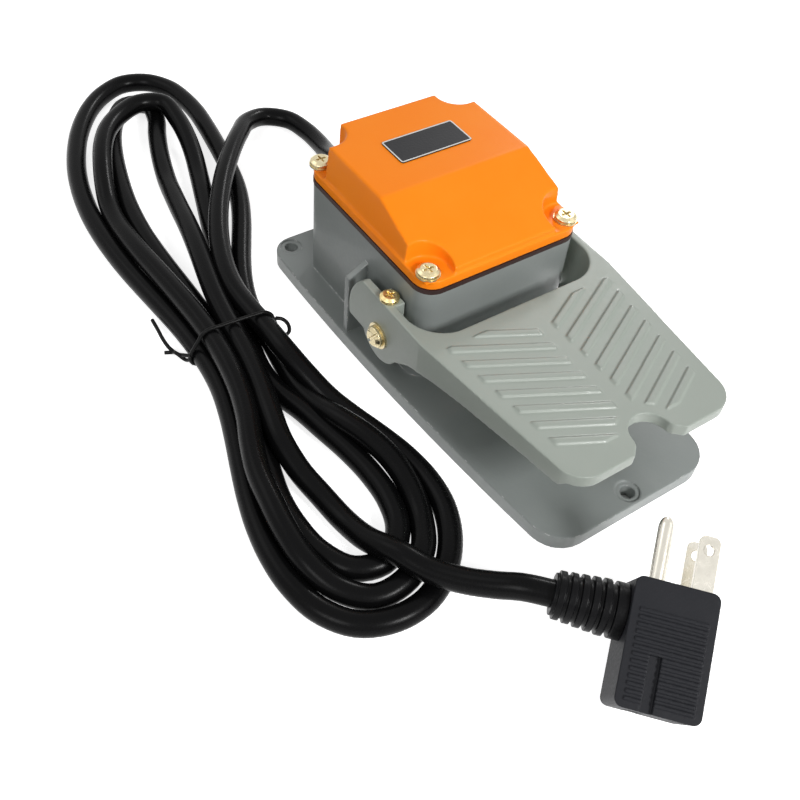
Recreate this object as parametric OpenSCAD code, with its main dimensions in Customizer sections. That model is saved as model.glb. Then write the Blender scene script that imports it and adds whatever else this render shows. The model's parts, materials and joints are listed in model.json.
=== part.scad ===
// Industrial foot switch: open treadle, die-cast housing, tied cord and piggyback mains plug.
// Own frame: mm, +Z up, toe end at -Y, cord end at +Y, base standing on z = 0.

/* [Base plate] */
// Length of the base from toe to heel
base_len = 180; // [150:1:220]
// Width of the base at the toe
base_front_w = 72.5; // [66:0.5:90]
// Width of the base at the heel
base_rear_w = 88.5; // [84:0.5:110]
// Outward bow of each long side
base_bow = 3.4; // [0:0.1:5]
// Thickness of the base plate
base_thk = 6; // [5:0.5:9]
// Corner radius at the toe
base_front_r = 11; // [6:0.5:14]
// Corner radius at the heel
base_rear_r = 9; // [5:0.5:12]
// Depth of the recess under the plate
under_depth = 2; // [1:0.25:3]
// Width of the rim left round the recess
under_rim = 5; // [4:0.5:8]
// Diameter of the mounting holes
mount_hole_d = 5.5; // [4:0.1:6.5]
// Distance of the mounting holes from the end edges
mount_edge = 5.5; // [5:0.25:9]
// Distance of the rear mounting holes from the side edges
mount_side = 7.6; // [6:0.1:10]

/* [Switch housing] */
// Half width of the housing
house_hw = 35.25; // [33:0.25:37]
// Front face of the housing
house_y0 = -5; // [-6:0.25:-4]
// Rear face of the housing
house_y1 = 74.6; // [72:0.2:76]
// Height of the housing rim
house_top = 47.5; // [45:0.5:52]
// Corner radius of the housing
house_r = 7.5; // [5:0.5:9]
// Wall thickness of the housing
house_wall = 3; // [2.5:0.25:3.5]
// Thickness of the cross ribs behind the pedal arms
rib_thk = 2.5; // [2:0.25:4]
// Height of the cross ribs at their outer end
rib_top = 33; // [25:0.5:36]

/* [Cover] */
// Height of the cover rim
rim_h = 4; // [3:0.25:6]
// Height of the crown above the cover rim
crown_h = 14.1; // [12:0.1:18]
// Draft of the crown on each side
crown_draft = 1.5; // [1:0.1:2]
// Wall thickness of the cover
cover_wall = 2.6; // [2:0.1:3]
// Where the plateau ends and the front slope starts
crease_y = 28.4; // [24:0.2:34]
// Fall of the front slope per millimetre
slope_fall = 0.36; // [0.3:0.01:0.4]
// Radius of the recesses round the cover screws
pocket_r = 9.2; // [8.5:0.1:10]
// Thickness of the cover gasket
gasket_thk = 1.9; // [1.5:0.1:2.5]
// Distance of the cover screws from the housing sides
screw_in_x = 4.45; // [4.3:0.05:5]
// Distance of the cover screws from the housing ends
screw_in_y = 5.2; // [4.8:0.1:6]
// Diameter of the cover screw heads
cover_head_d = 8.2; // [7.5:0.1:9]

/* [Pedal] */
// Front edge of the treadle
pedal_y0 = -89.2; // [-89.8:0.1:-86]
// Half width of the treadle at the front edge
pedal_front_hw = 35; // [33:0.25:36]
// Distance of the arms' outer faces from the housing sides
arm_reach = 8.15; // [8:0.05:8.5]
// Height of the tread surface at the rear
pedal_top = 39.3; // [37:0.1:40]
// Fall of the tread surface to the front edge
pedal_fall = 0.7; // [0:0.1:2]
// Thickness of the tread plate
tread_thk = 4.8; // [4:0.1:5.5]
// Thickness of the side skirts
skirt_thk = 3.2; // [2.6:0.1:3.6]
// Gap between the housing sides and the cut-out round them
cut_gap = 4.95; // [4.6:0.05:5.1]
// Front edge of that cut-out
cut_y0 = -16.5; // [-18:0.25:-15]
// Corner radius of that cut-out
cut_r = 14.5; // [10:0.5:16]
// Radius of the finger notch in the toe edge
notch_r = 7.7; // [6:0.1:9]
// Number of tread bars on each side
tread_bars = 8; // [5:1:8]
// Distance between tread bars
bar_pitch = 7.7; // [6.5:0.1:8]
// Width of a tread bar
bar_w = 2.6; // [2:0.1:3.2]
// Height of a tread bar
bar_h = 0.8; // [0.5:0.1:1]
// Angle of the tread bars
bar_angle = 26.7; // [20:0.1:30]

/* [Pivot] */
// Distance of the pivot axis from the middle of the base
pivot_y = 8.6; // [8.2:0.1:9]
// Height of the pivot axis
pivot_z = 22.8; // [22:0.1:23.4]
// Diameter of the pivot shaft
shaft_d = 8; // [7:0.25:8.5]
// Radial running clearance of the shaft in its bushes
shaft_fit = 0.05; // [0.03:0.01:0.08]
// Radius of the arm lobe round the pivot
lobe_r = 11.5; // [11:0.1:12]
// Radius of the arm tail round the pivot
tail_r = 20.7; // [20:0.1:21]

/* [Plug] */
// Width of the plug body
plug_w = 25; // [24:0.5:29]
// Length of the plug body
plug_len = 37.5; // [34:0.5:42]
// Thickness of the plug body
plug_thk = 20; // [19.5:0.5:24]
// Distance between the flat blades
blade_gap = 12.7; // [12.7:0.1:12.8]
// Distance from the blades to the earth pin
earth_gap = 11.9; // [11.8:0.1:12]

/* [Cord] */
// Diameter of the mains cord
cord_d = 8.5; // [8:0.1:9]

/* [Hidden] */
$fn = 48;

// ---- derived sizes ----
gap = 0.2;              // side gap between parts that turn past each other
cut = 1;                // how far a cutting solid passes the face it cuts
m4_r = 2;               // nominal radius of the M4 screws
m4_hole_r = 2.03;       // their tapped holes
m4_clear_r = 2.25;      // their clearance holes
m3_r = 1.5;
m3_hole_r = 1.53;
half_len = base_len / 2;
cover_z0 = house_top + gasket_thk;
rim_top = cover_z0 + rim_h;
crown_top = rim_top + crown_h;
screw_x = house_hw - screw_in_x;
screw_y0 = house_y0 + screw_in_y;
screw_y1 = house_y1 - screw_in_y + 2;
column_r = 5.2;
column_z0 = 30;
column_bore = 14;
pedal_arm_hw = house_hw + arm_reach;
cut_hw = house_hw + cut_gap;
crown_in = 0.75;        // set-back of the crown from the cover rim
pad_h = 5;              // height of the lever pad above the pivot axis
plunger_r = 1.5;
plunger_arm = 10;       // distance of the plunger from the pivot axis
plunger_y = pivot_y + plunger_arm;
plunger_gap = 0.3;
plunger_travel = 1.6;
plunger_stop = 1;       // room left between the plunger and the case screw at full travel
switch_w = 17.5;
switch_len = 49;
switch_h = 17.6;
switch_y0 = pivot_y - 1.5;
switch_z0 = pivot_z + pad_h + 3.2;
hub_r = 6.5;
hub_hw = 5;
boss_r = 9;
boss_x0 = house_hw + 0.7 + gap;
bush_r = 5.5;
gland_z = 26;
gland_thread_r = 8;
gland_hex_r = 10.4;
gland_len = 15;

// points of a plan outline with one side function, rounded at both ends
function base_half(y) = (base_front_w + base_rear_w) / 4 + (base_rear_w - base_front_w) / 2 * y / base_len
    + base_bow * (1 - pow(y / half_len, 2));
function base_side(inset, rf, rr) = concat(
    [for (t = [0:15:90]) let (y = -half_len + inset + rf * (1 - cos(t))) [base_half(y) - inset - rf * (1 - sin(t)), y]],
    [for (i = [1:11]) let (y = -half_len + inset + rf + i * (base_len - 2 * inset - rf - rr) / 12) [base_half(y) - inset, y]],
    [for (t = [90:-15:0]) let (y = half_len - inset - rr * (1 - cos(t))) [base_half(y) - inset - rr * (1 - sin(t)), y]]);
function mirrored(pts) = concat(pts, [for (i = [len(pts) - 1:-1:0]) [-pts[i][0], pts[i][1]]]);

pedal_r = 9;
pedal_straight_y = -15;
pedal_y1 = pivot_y + tail_r + 2;
function pedal_half(y) = y > pedal_straight_y ? pedal_arm_hw
    : pedal_arm_hw - (pedal_arm_hw - pedal_front_hw) * (pedal_straight_y - y) / (pedal_straight_y - pedal_y0);
function pedal_side(inset, rf) = concat(
    [for (t = [0:11.25:90]) let (y = pedal_y0 + rf * (1 - cos(t))) [pedal_half(y) - inset - rf * (1 - sin(t)), y]],
    [[pedal_half(pedal_straight_y) - inset, pedal_straight_y], [pedal_half(pedal_y1) - inset, pedal_y1]]);
function tread_z(y) = pedal_top - pedal_fall * (pivot_y - y) / (pivot_y - pedal_y0);
function pivot_arc(r, a0, a1, n) = [for (i = [0:n]) let (a = a0 + (a1 - a0) * i / n) [pivot_y + r * cos(a), pivot_z + r * sin(a)]];
tail_low = 5.1;         // how far the tail reaches below the pivot axis
tail_high_a = asin((pedal_top - pivot_z) / tail_r);
tail_low_a = -asin(tail_low / tail_r);
lobe_a = -asin(tail_low / lobe_r);
lobe_end_a = -153;
skirt_pts = [[-6.4, 20.8], [-9.3, 23], [-13.4, 24.7], [-23, 26.8], [-38.6, 28.7], [-53.4, 29.6], [-67.7, 30.7], [-81.5, 31.2]];
lip_z = pedal_top - pedal_fall - tread_thk;

// sweep of a round section along a path: one closed polyhedron
function unit(v) = v / norm(v);
function path_dir(p, i) = unit(i == 0 ? p[1] - p[0] : i == len(p) - 1 ? p[i] - p[i - 1] : unit(p[i + 1] - p[i]) + unit(p[i] - p[i - 1]));
function carry(n, t) = unit(n - (n * t) * t);
function frames(p, i, n) = i == len(p) ? [] : let (t = path_dir(p, i), m = carry(n, t)) concat([[m, cross(t, m)]], frames(p, i + 1, m));
module tube(path, r, sides, start = [0, 0, 1]) {
    f = frames(path, 0, start);
    pts = [for (i = [0:len(path) - 1]) for (k = [0:sides - 1]) let (a = 360 * k / sides) path[i] + r * (cos(a) * f[i][0] + sin(a) * f[i][1])];
    n = len(path);
    polyhedron(points = pts, faces = concat(
        [[for (k = [0:sides - 1]) k]],
        [[for (k = [sides - 1:-1:0]) (n - 1) * sides + k]],
        [for (i = [0:n - 2]) for (k = [0:sides - 1]) let (j = (k + 1) % sides) [i * sides + k, (i + 1) * sides + k, (i + 1) * sides + j, i * sides + j]]));
}

// smooth path through hand-set points
function spline(p, i, u) = let (a = p[max(i - 1, 0)], b = p[i], c = p[i + 1], d = p[min(i + 2, len(p) - 1)])
    0.5 * (2 * b + (c - a) * u + (2 * a - 5 * b + 4 * c - d) * u * u + (3 * b - a - 3 * c + d) * u * u * u);
function smooth_path(p, n) = concat([for (i = [0:len(p) - 2]) for (k = [0:n - 1]) spline(p, i, k / n)], [p[len(p) - 1]]);

function closed_path(p, n) = let (m = len(p), q = concat([p[m - 1]], p, [p[0], p[1]])) [for (i = [1:m]) for (k = [0:n - 1]) spline(q, i, k / n)];

module rrect(x0, x1, y0, y1, r) {
    translate([x0 + r, y0]) square([x1 - x0 - 2 * r, y1 - y0]);
    translate([x0, y0 + r]) square([x1 - x0, y1 - y0 - 2 * r]);
    for (x = [x0 + r, x1 - r]) for (y = [y0 + r, y1 - r]) translate([x, y]) circle(r);
}
module along_x(x0, x1) translate([x0, 0, 0]) rotate([90, 0, 90]) linear_extrude(x1 - x0) children();
module along_y(y0, y1) translate([0, y1, 0]) rotate([90, 0, 0]) linear_extrude(y1 - y0) children();
module rod_x(r, x0, x1) translate([x0, pivot_y, pivot_z]) rotate([0, 90, 0]) cylinder(r = r, h = x1 - x0);
module at_cover_screws() for (x = [-screw_x, screw_x]) for (y = [screw_y0, screw_y1]) translate([x, y, 0]) children();
module house_plan(inset, r) rrect(-house_hw + inset, house_hw - inset, house_y0 + inset, house_y1 - inset, r);

// pan-head machine screw standing on z = 0 with a cross recess
module cross_screw(head_r, head_h, r, length) {
    difference() {
        union() {
            cylinder(r = head_r, h = head_h * 0.6);
            translate([0, 0, head_h * 0.6]) cylinder(r1 = head_r, r2 = head_r * 0.72, h = head_h * 0.4);
        }
        for (a = [0, 90]) rotate([0, 0, a]) translate([-head_r * 0.5, -head_r * 0.1, head_h * 0.45]) cube([head_r, head_r * 0.2, head_h]);
    }
    translate([0, 0, -length]) cylinder(r = r, h = length);
}
module slot_screw(head_r, head_h, r, length) {
    difference() {
        union() {
            cylinder(r = head_r, h = head_h * 0.55);
            translate([0, 0, head_h * 0.55]) cylinder(r1 = head_r, r2 = head_r * 0.7, h = head_h * 0.45);
        }
        translate([-head_r - cut, -head_r * 0.13, head_h * 0.5]) cube([2 * (head_r + cut), head_r * 0.26, head_h]);
    }
    translate([0, 0, -length]) cylinder(r = r, h = length);
}

// ---- base and housing ----
rear_hole_y = half_len - mount_edge;
rear_hole_x = base_half(rear_hole_y) - mount_side;
front_hole_y = -half_len + mount_edge;
mount_ring_r = 4.5;
mount_ring_depth = 0.5;
mount_boss_r = 7;
rib_y0 = pivot_y + tail_r + 0.5;
rib_hw = base_half(rib_y0) - 1.2;
bracket_post_h = 4;
bracket_post_r = 4;
bracket_post_y = [26, 50];
bracket_thk = 2;
bracket_foot_x = -17;
earth_x = 21;
earth_y = 58;
floor_z = base_thk;
post_z = floor_z + bracket_post_h;

module at_mounts() {
    translate([0, front_hole_y, 0]) children();
    for (x = [-rear_hole_x, rear_hole_x]) translate([x, rear_hole_y, 0]) children();
}

module base_housing() color([0.49, 0.51, 0.5]) difference() {
    union() {
        linear_extrude(base_thk) polygon(mirrored(base_side(0, base_front_r, base_rear_r)));
        linear_extrude(house_top) house_plan(0, house_r);
        along_y(rib_y0, rib_y0 + rib_thk) polygon([[-rib_hw, 0], [rib_hw, 0], [rib_hw, rib_top], [house_hw, rib_top + 4.5], [-house_hw, rib_top + 4.5], [-rib_hw, rib_top]]);
    }
    // rim and bosses under the plate
    translate([0, 0, -cut]) linear_extrude(under_depth + cut) difference() {
        polygon(mirrored(base_side(under_rim, base_front_r - under_rim, base_rear_r - under_rim)));
        translate([0, front_hole_y]) circle(mount_boss_r);
        for (x = [-rear_hole_x, rear_hole_x]) translate([x, rear_hole_y]) circle(mount_boss_r);
    }
    // cavity, with the cover screw columns, the bracket posts and the earth post left standing
    difference() {
        translate([0, 0, floor_z]) linear_extrude(house_top - floor_z + cut) house_plan(house_wall, house_r - house_wall);
        at_cover_screws() translate([0, 0, column_z0]) cylinder(r = column_r, h = house_top);
        for (y = bracket_post_y) translate([bracket_foot_x, y, 0]) cylinder(r = bracket_post_r, h = post_z);
        translate([earth_x, earth_y, 0]) cylinder(r = bracket_post_r, h = post_z);
    }
    at_cover_screws() translate([0, 0, house_top - column_bore]) cylinder(r = m4_hole_r, h = column_bore + cut);
    for (y = bracket_post_y) translate([bracket_foot_x, y, post_z - 6]) cylinder(r = m3_hole_r, h = 7);
    translate([earth_x, earth_y, post_z - 6]) cylinder(r = m3_hole_r, h = 7);
    // pivot: the bush bores and the free space for the shaft past the columns
    rod_x(bush_r, -house_hw - cut, house_hw + cut);
    // cord entry
    translate([0, house_y1 + cut, gland_z]) rotate([90, 0, 0]) cylinder(r = gland_thread_r + 0.1, h = house_wall + 2 * cut);
    at_mounts() {
        translate([0, 0, -cut]) cylinder(d = mount_hole_d, h = base_thk + 2 * cut);
        translate([0, 0, base_thk - mount_ring_depth]) cylinder(r = mount_ring_r, h = mount_ring_depth + cut);
    }
}

// ---- cover ----
function slope_z(y) = crown_top - slope_fall * (crease_y - y);
nose_y = house_y0 + crown_in;
tail_y = house_y1 - crown_in;

module crown(inset, z0) intersection() {
    along_x(-house_hw, house_hw) polygon([[nose_y + inset, z0], [nose_y + inset, slope_z(nose_y + inset) - inset],
        [crease_y, crown_top - inset], [tail_y - crown_draft / 2 - inset, crown_top - inset], [tail_y - inset, z0]]);
    along_y(house_y0, house_y1) polygon([[-house_hw + crown_in + inset, z0], [house_hw - crown_in - inset, z0],
        [house_hw - crown_in - inset, rim_top], [house_hw - crown_in - crown_draft - inset, crown_top],
        [-house_hw + crown_in + crown_draft + inset, crown_top], [-house_hw + crown_in + inset, rim_top]]);
}

module cover() color([0.95, 0.55, 0.15]) difference() {
    union() {
        translate([0, 0, cover_z0]) linear_extrude(rim_h) house_plan(0, house_r);
        difference() {
            crown(0, rim_top - cut / 2);
            at_cover_screws() translate([0, 0, rim_top]) cylinder(r = pocket_r, h = crown_h + cut);
        }
    }
    difference() {
        union() {
            crown(cover_wall, rim_top - cut / 2);
            translate([0, 0, cover_z0 - cut]) linear_extrude(rim_h + cut) house_plan(house_wall, house_r - house_wall);
        }
        at_cover_screws() translate([0, 0, cover_z0 - 2 * cut]) cylinder(r = pocket_r + cover_wall, h = crown_h + rim_h + 3 * cut);
    }
    at_cover_screws() translate([0, 0, cover_z0 - cut]) cylinder(r = m4_clear_r, h = rim_h + 2 * cut);
}

module cover_gasket() color([0.16, 0.07, 0.05]) translate([0, 0, house_top]) linear_extrude(gasket_thk) difference() {
    intersection() {
        house_plan(-0.2, house_r + 0.2);
        union() {
            difference() {
                house_plan(-0.2, house_r + 0.2);
                house_plan(house_wall, house_r - house_wall);
            }
            at_cover_screws() circle(column_r);
        }
    }
    at_cover_screws() circle(m4_clear_r);
}

washer_thk = 0.6;
module cover_washers() color([0.75, 0.72, 0.6]) at_cover_screws() translate([0, 0, rim_top]) difference() {
    cylinder(d = cover_head_d + 0.6, h = washer_thk);
    translate([0, 0, -cut]) cylinder(r = m4_clear_r, h = washer_thk + 2 * cut);
}
module cover_screws() color([0.78, 0.74, 0.6]) at_cover_screws() translate([0, 0, rim_top + washer_thk])
    cross_screw(cover_head_d / 2, 2, m4_r, washer_thk + rim_h + gasket_thk + column_bore - 3);

plate_w = 31.5;
plate_l = 14;
module nameplate() color([0.12, 0.12, 0.12]) translate([0.5, 48, crown_top]) linear_extrude(0.5) rrect(-plate_w / 2, plate_w / 2, -plate_l / 2, plate_l / 2, 1);

// ---- pedal ----
bar_inner = 3.4;
bar_margin = 6.2;
bar_first = cut_y0 - 5.3;
notch_y = front_hole_y;
module pedal_plan(inset) difference() {
    polygon(mirrored(pedal_side(inset, pedal_r)));
    rrect(-cut_hw, cut_hw, cut_y0, base_len, cut_r);
    // finger notch with flared mouth
    translate([0, notch_y]) circle(notch_r);
    polygon([[-notch_r, notch_y], [notch_r, notch_y], [notch_r + 0.8, notch_y - 1.8], [notch_r + 4.6, pedal_y0 - 0.6],
        [notch_r + 4.6, pedal_y0 - cut], [-notch_r - 4.6, pedal_y0 - cut], [-notch_r - 4.6, pedal_y0 - 0.6], [-notch_r - 0.8, notch_y - 1.8]]);
}
module pedal_profile() polygon(concat(
    [[pedal_y0, tread_z(pedal_y0)]], [[pedal_y0, lip_z]], [[skirt_pts[7][0] - 2.6, lip_z]],
    [for (i = [7:-1:0]) skirt_pts[i]],
    pivot_arc(lobe_r, lobe_end_a, lobe_a, 16), pivot_arc(tail_r, tail_low_a, tail_high_a, 10)));
module bar_rows() intersection() {
    difference() {
        polygon(mirrored(pedal_side(bar_margin, pedal_r)));
        translate([-half_len, bar_first]) square([base_len, base_len]);
        translate([-bar_inner, -half_len - cut]) square([2 * bar_inner, half_len + cut]);
        translate([0, notch_y]) circle(notch_r + 4);
        translate([-half_len, pedal_y0 - cut]) square([base_len, 10]);
    }
    for (s = [0, 1]) mirror([s, 0]) for (i = [0:tread_bars - 1])
        translate([bar_inner, bar_first - 9.5 - i * bar_pitch]) rotate([0, 0, bar_angle]) translate([-bar_w, -bar_w / 2]) square([50, bar_w]);
}
pocket_top = pedal_top - pedal_fall - tread_thk;
module pedal() color([0.63, 0.66, 0.62]) difference() {
    union() {
        difference() {
            intersection() {
                linear_extrude(pedal_top + cut) pedal_plan(0);
                along_x(-pedal_arm_hw - cut, pedal_arm_hw + cut) pedal_profile();
            }
            // pocket under the tread, open at the toe
            linear_extrude(pocket_top) difference() {
                translate([0, -0.01]) polygon(mirrored(pedal_side(skirt_thk, pedal_r - skirt_thk)));
                translate([-half_len, cut_y0 - skirt_thk]) square([base_len, base_len]);
            }
        }
        intersection() {
            linear_extrude(pedal_top + 2 * cut) bar_rows();
            along_x(-half_len, half_len) polygon([[pedal_y0, tread_z(pedal_y0) - cut], [0, tread_z(0) - cut], [0, tread_z(0) + bar_h], [pedal_y0, tread_z(pedal_y0) + bar_h]]);
        }
        // pivot bosses on the inner side of the arms, carried up to the set screws
        for (s = [0, 1]) mirror([s, 0, 0]) {
            rod_x(boss_r, boss_x0, pedal_arm_hw - skirt_thk / 2);
            translate([boss_x0, pivot_y - boss_r / 2, pivot_z]) cube([pedal_arm_hw - skirt_thk / 2 - boss_x0, boss_r, tread_z(pivot_y - boss_r / 2) - pivot_z]);
        }
    }
    rod_x(shaft_d / 2 + 0.02, -pedal_arm_hw - cut, pedal_arm_hw + cut);
    for (x = [-set_x, set_x]) translate([x, pivot_y, pivot_z]) cylinder(r = m4_hole_r, h = pedal_top);
}
set_x = pedal_arm_hw - 3.4;
set_head_r = 3.6;

module pivot_shaft() color([0.72, 0.72, 0.7]) difference() {
    rod_x(shaft_d / 2, -pedal_arm_hw + 0.2, pedal_arm_hw - 0.2);
    for (s = [0, 1]) mirror([s, 0, 0]) rod_x(m4_hole_r, pedal_arm_hw - 9, pedal_arm_hw + cut);
    // flats under the set screws
    for (x = [-set_x, set_x]) translate([x - 3, pivot_y - 3, pivot_z + shaft_d / 2 - 0.8]) cube([6, 6, 2]);
    // flat that keys the lever hub
    translate([-hub_hw + 0.5, pivot_y - 3, pivot_z - shaft_d / 2 - cut]) cube([2 * hub_hw - 1, 6, cut + 0.6]);
}
module bush(side) mirror([side, 0, 0]) difference() {
    union() {
        rod_x(bush_r - 0.02, house_hw - house_wall, house_hw + 0.05);
        rod_x(bush_r + 1.5, house_hw, house_hw + 0.7);
    }
    rod_x(shaft_d / 2 + shaft_fit, house_hw - house_wall - cut, house_hw + 2 * cut);
}
module shaft_bush_left() color([0.7, 0.55, 0.3]) bush(1);
module shaft_bush_right() color([0.7, 0.55, 0.3]) bush(0);
pivot_washer_thk = 0.8;
pivot_screw_len = 8;
module pivot_washers() color([0.75, 0.72, 0.6]) for (s = [0, 1]) mirror([s, 0, 0]) difference() {
    rod_x(5.2, pedal_arm_hw, pedal_arm_hw + pivot_washer_thk);
    rod_x(m4_clear_r, pedal_arm_hw - cut, pedal_arm_hw + 2 * cut);
}
module pivot_screws() color([0.78, 0.74, 0.6]) for (s = [0, 1]) mirror([s, 0, 0])
    translate([pedal_arm_hw + pivot_washer_thk, pivot_y, pivot_z]) rotate([0, 90, 0]) rotate([0, 0, 35]) slot_screw(4.2, 2.6, m4_r, pivot_screw_len);
module arm_set_screws() color([0.8, 0.66, 0.3]) for (x = [-set_x, set_x])
    translate([x, pivot_y, pedal_top]) cross_screw(set_head_r, 2.2, m4_r, pedal_top - pivot_z - shaft_d / 2 + 0.75);

// ---- inside the housing ----
pad_z = pivot_z + pad_h;
pad_y0 = plunger_y - 4;
lever_end = plunger_y + 4.5;
hub_screw_r = 2.6;
hub_seat = 0.7;         // depth of the spot face in the hub
module cam_lever() color([0.6, 0.6, 0.58]) difference() {
    union() {
        rod_x(hub_r, -hub_hw, hub_hw);
        along_x(-hub_hw + 1.5, hub_hw - 1.5) polygon([[pivot_y + 2, pivot_z - 5.5], [lever_end, pad_z - 3.6], [lever_end, pad_z], [pad_y0, pad_z], [pivot_y + 4, pad_z - 0.6]]);
    }
    difference() {
        rod_x(shaft_d / 2 + 0.03, -hub_hw - cut, hub_hw + cut);
        translate([-hub_hw + 0.6, pivot_y - 3, pivot_z - shaft_d / 2 - cut]) cube([2 * hub_hw - 1.2, 6, cut + 0.55]);
    }
    translate([0, pivot_y, pivot_z]) rotate([90, 0, 0]) cylinder(r = m3_hole_r, h = hub_r + cut);
    // spot face under the screw head
    translate([0, pivot_y - hub_r + hub_seat, pivot_z]) rotate([90, 0, 0]) cylinder(r = hub_screw_r + 0.2, h = hub_seat + cut);
}
module lever_screw() color([0.3, 0.3, 0.3]) translate([0, pivot_y - hub_r + hub_seat, pivot_z]) rotate([90, 0, 0]) slot_screw(hub_screw_r, 1.6, m3_r, hub_r - hub_seat - shaft_d / 2 - 0.05);

spring_r = 6.4;
wire_r = 0.7;
coil_turns = 5;
coil_x = 14;
coil_pitch = 1.7;
spring_path = concat(
    [[coil_x, pivot_y - 8.5, floor_z + wire_r + 0.1], [coil_x, pivot_y - 7.6, pivot_z - 8]],
    [for (k = [0:12 * coil_turns + 3]) let (a = 180 + 30 * k) [coil_x + coil_pitch * k / 12, pivot_y + spring_r * cos(a), pivot_z + spring_r * sin(a)]],
    [[coil_x + coil_pitch * (coil_turns + 0.35), pivot_y + 6, pivot_z - spring_r]]);
module return_spring() color([0.55, 0.56, 0.58]) tube(spring_path, wire_r, 6, [1, 0, 0]);

bracket_x1 = -switch_w / 2;
bracket_top = switch_z0 + switch_h - 2;
hole_y = [switch_y0 + 12, switch_y0 + 12 + 25.4];
hole_z = switch_z0 + 6;
module switch_bracket() color([0.7, 0.71, 0.72]) difference() {
    union() {
        translate([bracket_x1 - bracket_thk, switch_y0 + 9, post_z]) cube([bracket_thk, switch_len - 12, bracket_top - post_z]);
        translate([bracket_foot_x - 5, switch_y0 + 9, post_z]) cube([bracket_x1 - bracket_foot_x + 5, switch_len - 12, bracket_thk]);
    }
    for (y = bracket_post_y) translate([bracket_foot_x, y, post_z - cut]) cylinder(r = m3_r + 0.2, h = bracket_thk + 2 * cut);
    for (y = hole_y) translate([bracket_x1 - bracket_thk - cut, y, hole_z]) rotate([0, 90, 0]) cylinder(r = m3_r + 0.2, h = bracket_thk + 2 * cut);
    translate([bracket_x1 - bracket_thk - cut, switch_y0 + 15, post_z + 6]) cube([bracket_thk + 2 * cut, switch_len - 24, 9]);
}
module bracket_screws() color([0.78, 0.74, 0.6]) for (y = bracket_post_y) translate([bracket_foot_x, y, post_z + bracket_thk]) cross_screw(2.9, 1.8, m3_r, bracket_thk + 5);

module switch_body() color([0.14, 0.14, 0.15]) difference() {
    union() {
        translate([-switch_w / 2, switch_y0, switch_z0]) cube([switch_w, switch_len, switch_h]);
        translate([0, plunger_y, switch_z0 - 0.8]) cylinder(r = 4, h = 2);
        // barriers between the terminals
        for (y = [switch_y0 + 14.6, switch_y0 + 33]) translate([-switch_w / 2, y, switch_z0 + switch_h - cut]) cube([switch_w, 1.4, 4.5]);
    }
    translate([0, plunger_y, switch_z0 - 2 * cut]) cylinder(r = plunger_r + 0.08, h = 10);
    for (y = hole_y) translate([-switch_w / 2 - cut, y, hole_z]) rotate([0, 90, 0]) cylinder(r = m3_r + 0.15, h = switch_w + 2 * cut);
    // joint line of the two-part case
    translate([-switch_w / 2 - cut, switch_y0 - cut, switch_z0 + 12]) cube([cut + 0.4, switch_len + 2 * cut, 0.6]);
}
module switch_plunger() color([0.7, 0.15, 0.12]) translate([0, plunger_y, pad_z + plunger_gap]) {
    cylinder(r1 = plunger_r * 0.6, r2 = plunger_r, h = 0.5);
    translate([0, 0, 0.5]) cylinder(r = plunger_r, h = hole_z - m3_r - plunger_travel - plunger_stop - pad_z);
}
tab_w = 6.4;
tab_l = 8;
tab_pitch = 18;
tab_y = [for (i = [0:2]) switch_y0 + 6 + i * tab_pitch];
tab_z = switch_z0 + switch_h;
module switch_terminals() color([0.8, 0.66, 0.3]) for (y = tab_y) {
    difference() {
        translate([-tab_w / 2, y - tab_l / 2, tab_z]) cube([tab_w, tab_l, 0.8]);
        translate([0, y - 1, tab_z - cut]) cylinder(r = m3_r + 0.2, h = 3 * cut);
    }
    translate([0, y - 1, tab_z + 0.8]) slot_screw(2.7, 1.5, m3_r, 0.8);
}
module switch_screws() color([0.78, 0.74, 0.6]) for (y = hole_y) translate([switch_w / 2, y, hole_z]) rotate([0, 90, 0]) slot_screw(2.8, 1.8, m3_r, switch_w + bracket_thk + 0.4);
module earth_screw() color([0.35, 0.55, 0.35]) translate([earth_x, earth_y, post_z + 1]) cross_screw(3, 1.8, m3_r, 6.5);

// ---- cable gland ----
module rod_y(r, y0, y1) translate([0, y1, gland_z]) rotate([90, 0, 0]) cylinder(r = r, h = y1 - y0);
module hex_y(r, y0, y1) translate([0, y1, gland_z]) rotate([90, 0, 0]) cylinder(r = r, h = y1 - y0, $fn = 6);
gland_y1 = house_y1 + gland_len;
gland_neck = house_y1 + 4.5;
module gland_body() color([0.1, 0.1, 0.1]) difference() {
    union() {
        rod_y(gland_thread_r, house_y1 - house_wall - 5.5, gland_neck);
        hex_y(gland_hex_r, house_y1, gland_neck);
        rod_y(gland_thread_r - 0.6, gland_neck, gland_neck + 5);
    }
    rod_y(cord_d / 2 + 0.3, house_y1 - 10, gland_neck + 6);
    rod_y(gland_thread_r - 2.2, gland_neck - 1, gland_neck + 6);
}
module gland_seal() color([0.2, 0.2, 0.2]) difference() {
    rod_y(gland_thread_r - 2.25, gland_neck - 0.95, gland_neck + 6.5);
    rod_y(cord_d / 2 + 0.02, gland_neck - 2, gland_neck + 8);
}
module gland_nut() color([0.1, 0.1, 0.1]) difference() {
    union() {
        hex_y(gland_hex_r, gland_neck + 0.1, gland_neck + 6.5);
        translate([0, gland_neck + 6.5, gland_z]) rotate([-90, 0, 0]) cylinder(r1 = gland_hex_r * 0.84, r2 = cord_d / 2 + 2.2, h = gland_y1 - gland_neck - 6.5);
    }
    rod_y(cord_d / 2 + 0.3, gland_neck - 1, gland_y1 + cut);
    rod_y(gland_thread_r - 0.57, gland_neck - 1, gland_neck + 6.6);
}
module gland_locknut() color([0.1, 0.1, 0.1]) difference() {
    hex_y(gland_hex_r, house_y1 - house_wall - 4, house_y1 - house_wall);
    rod_y(gland_thread_r + 0.03, house_y1 - house_wall - 5, house_y1);
}

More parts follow.
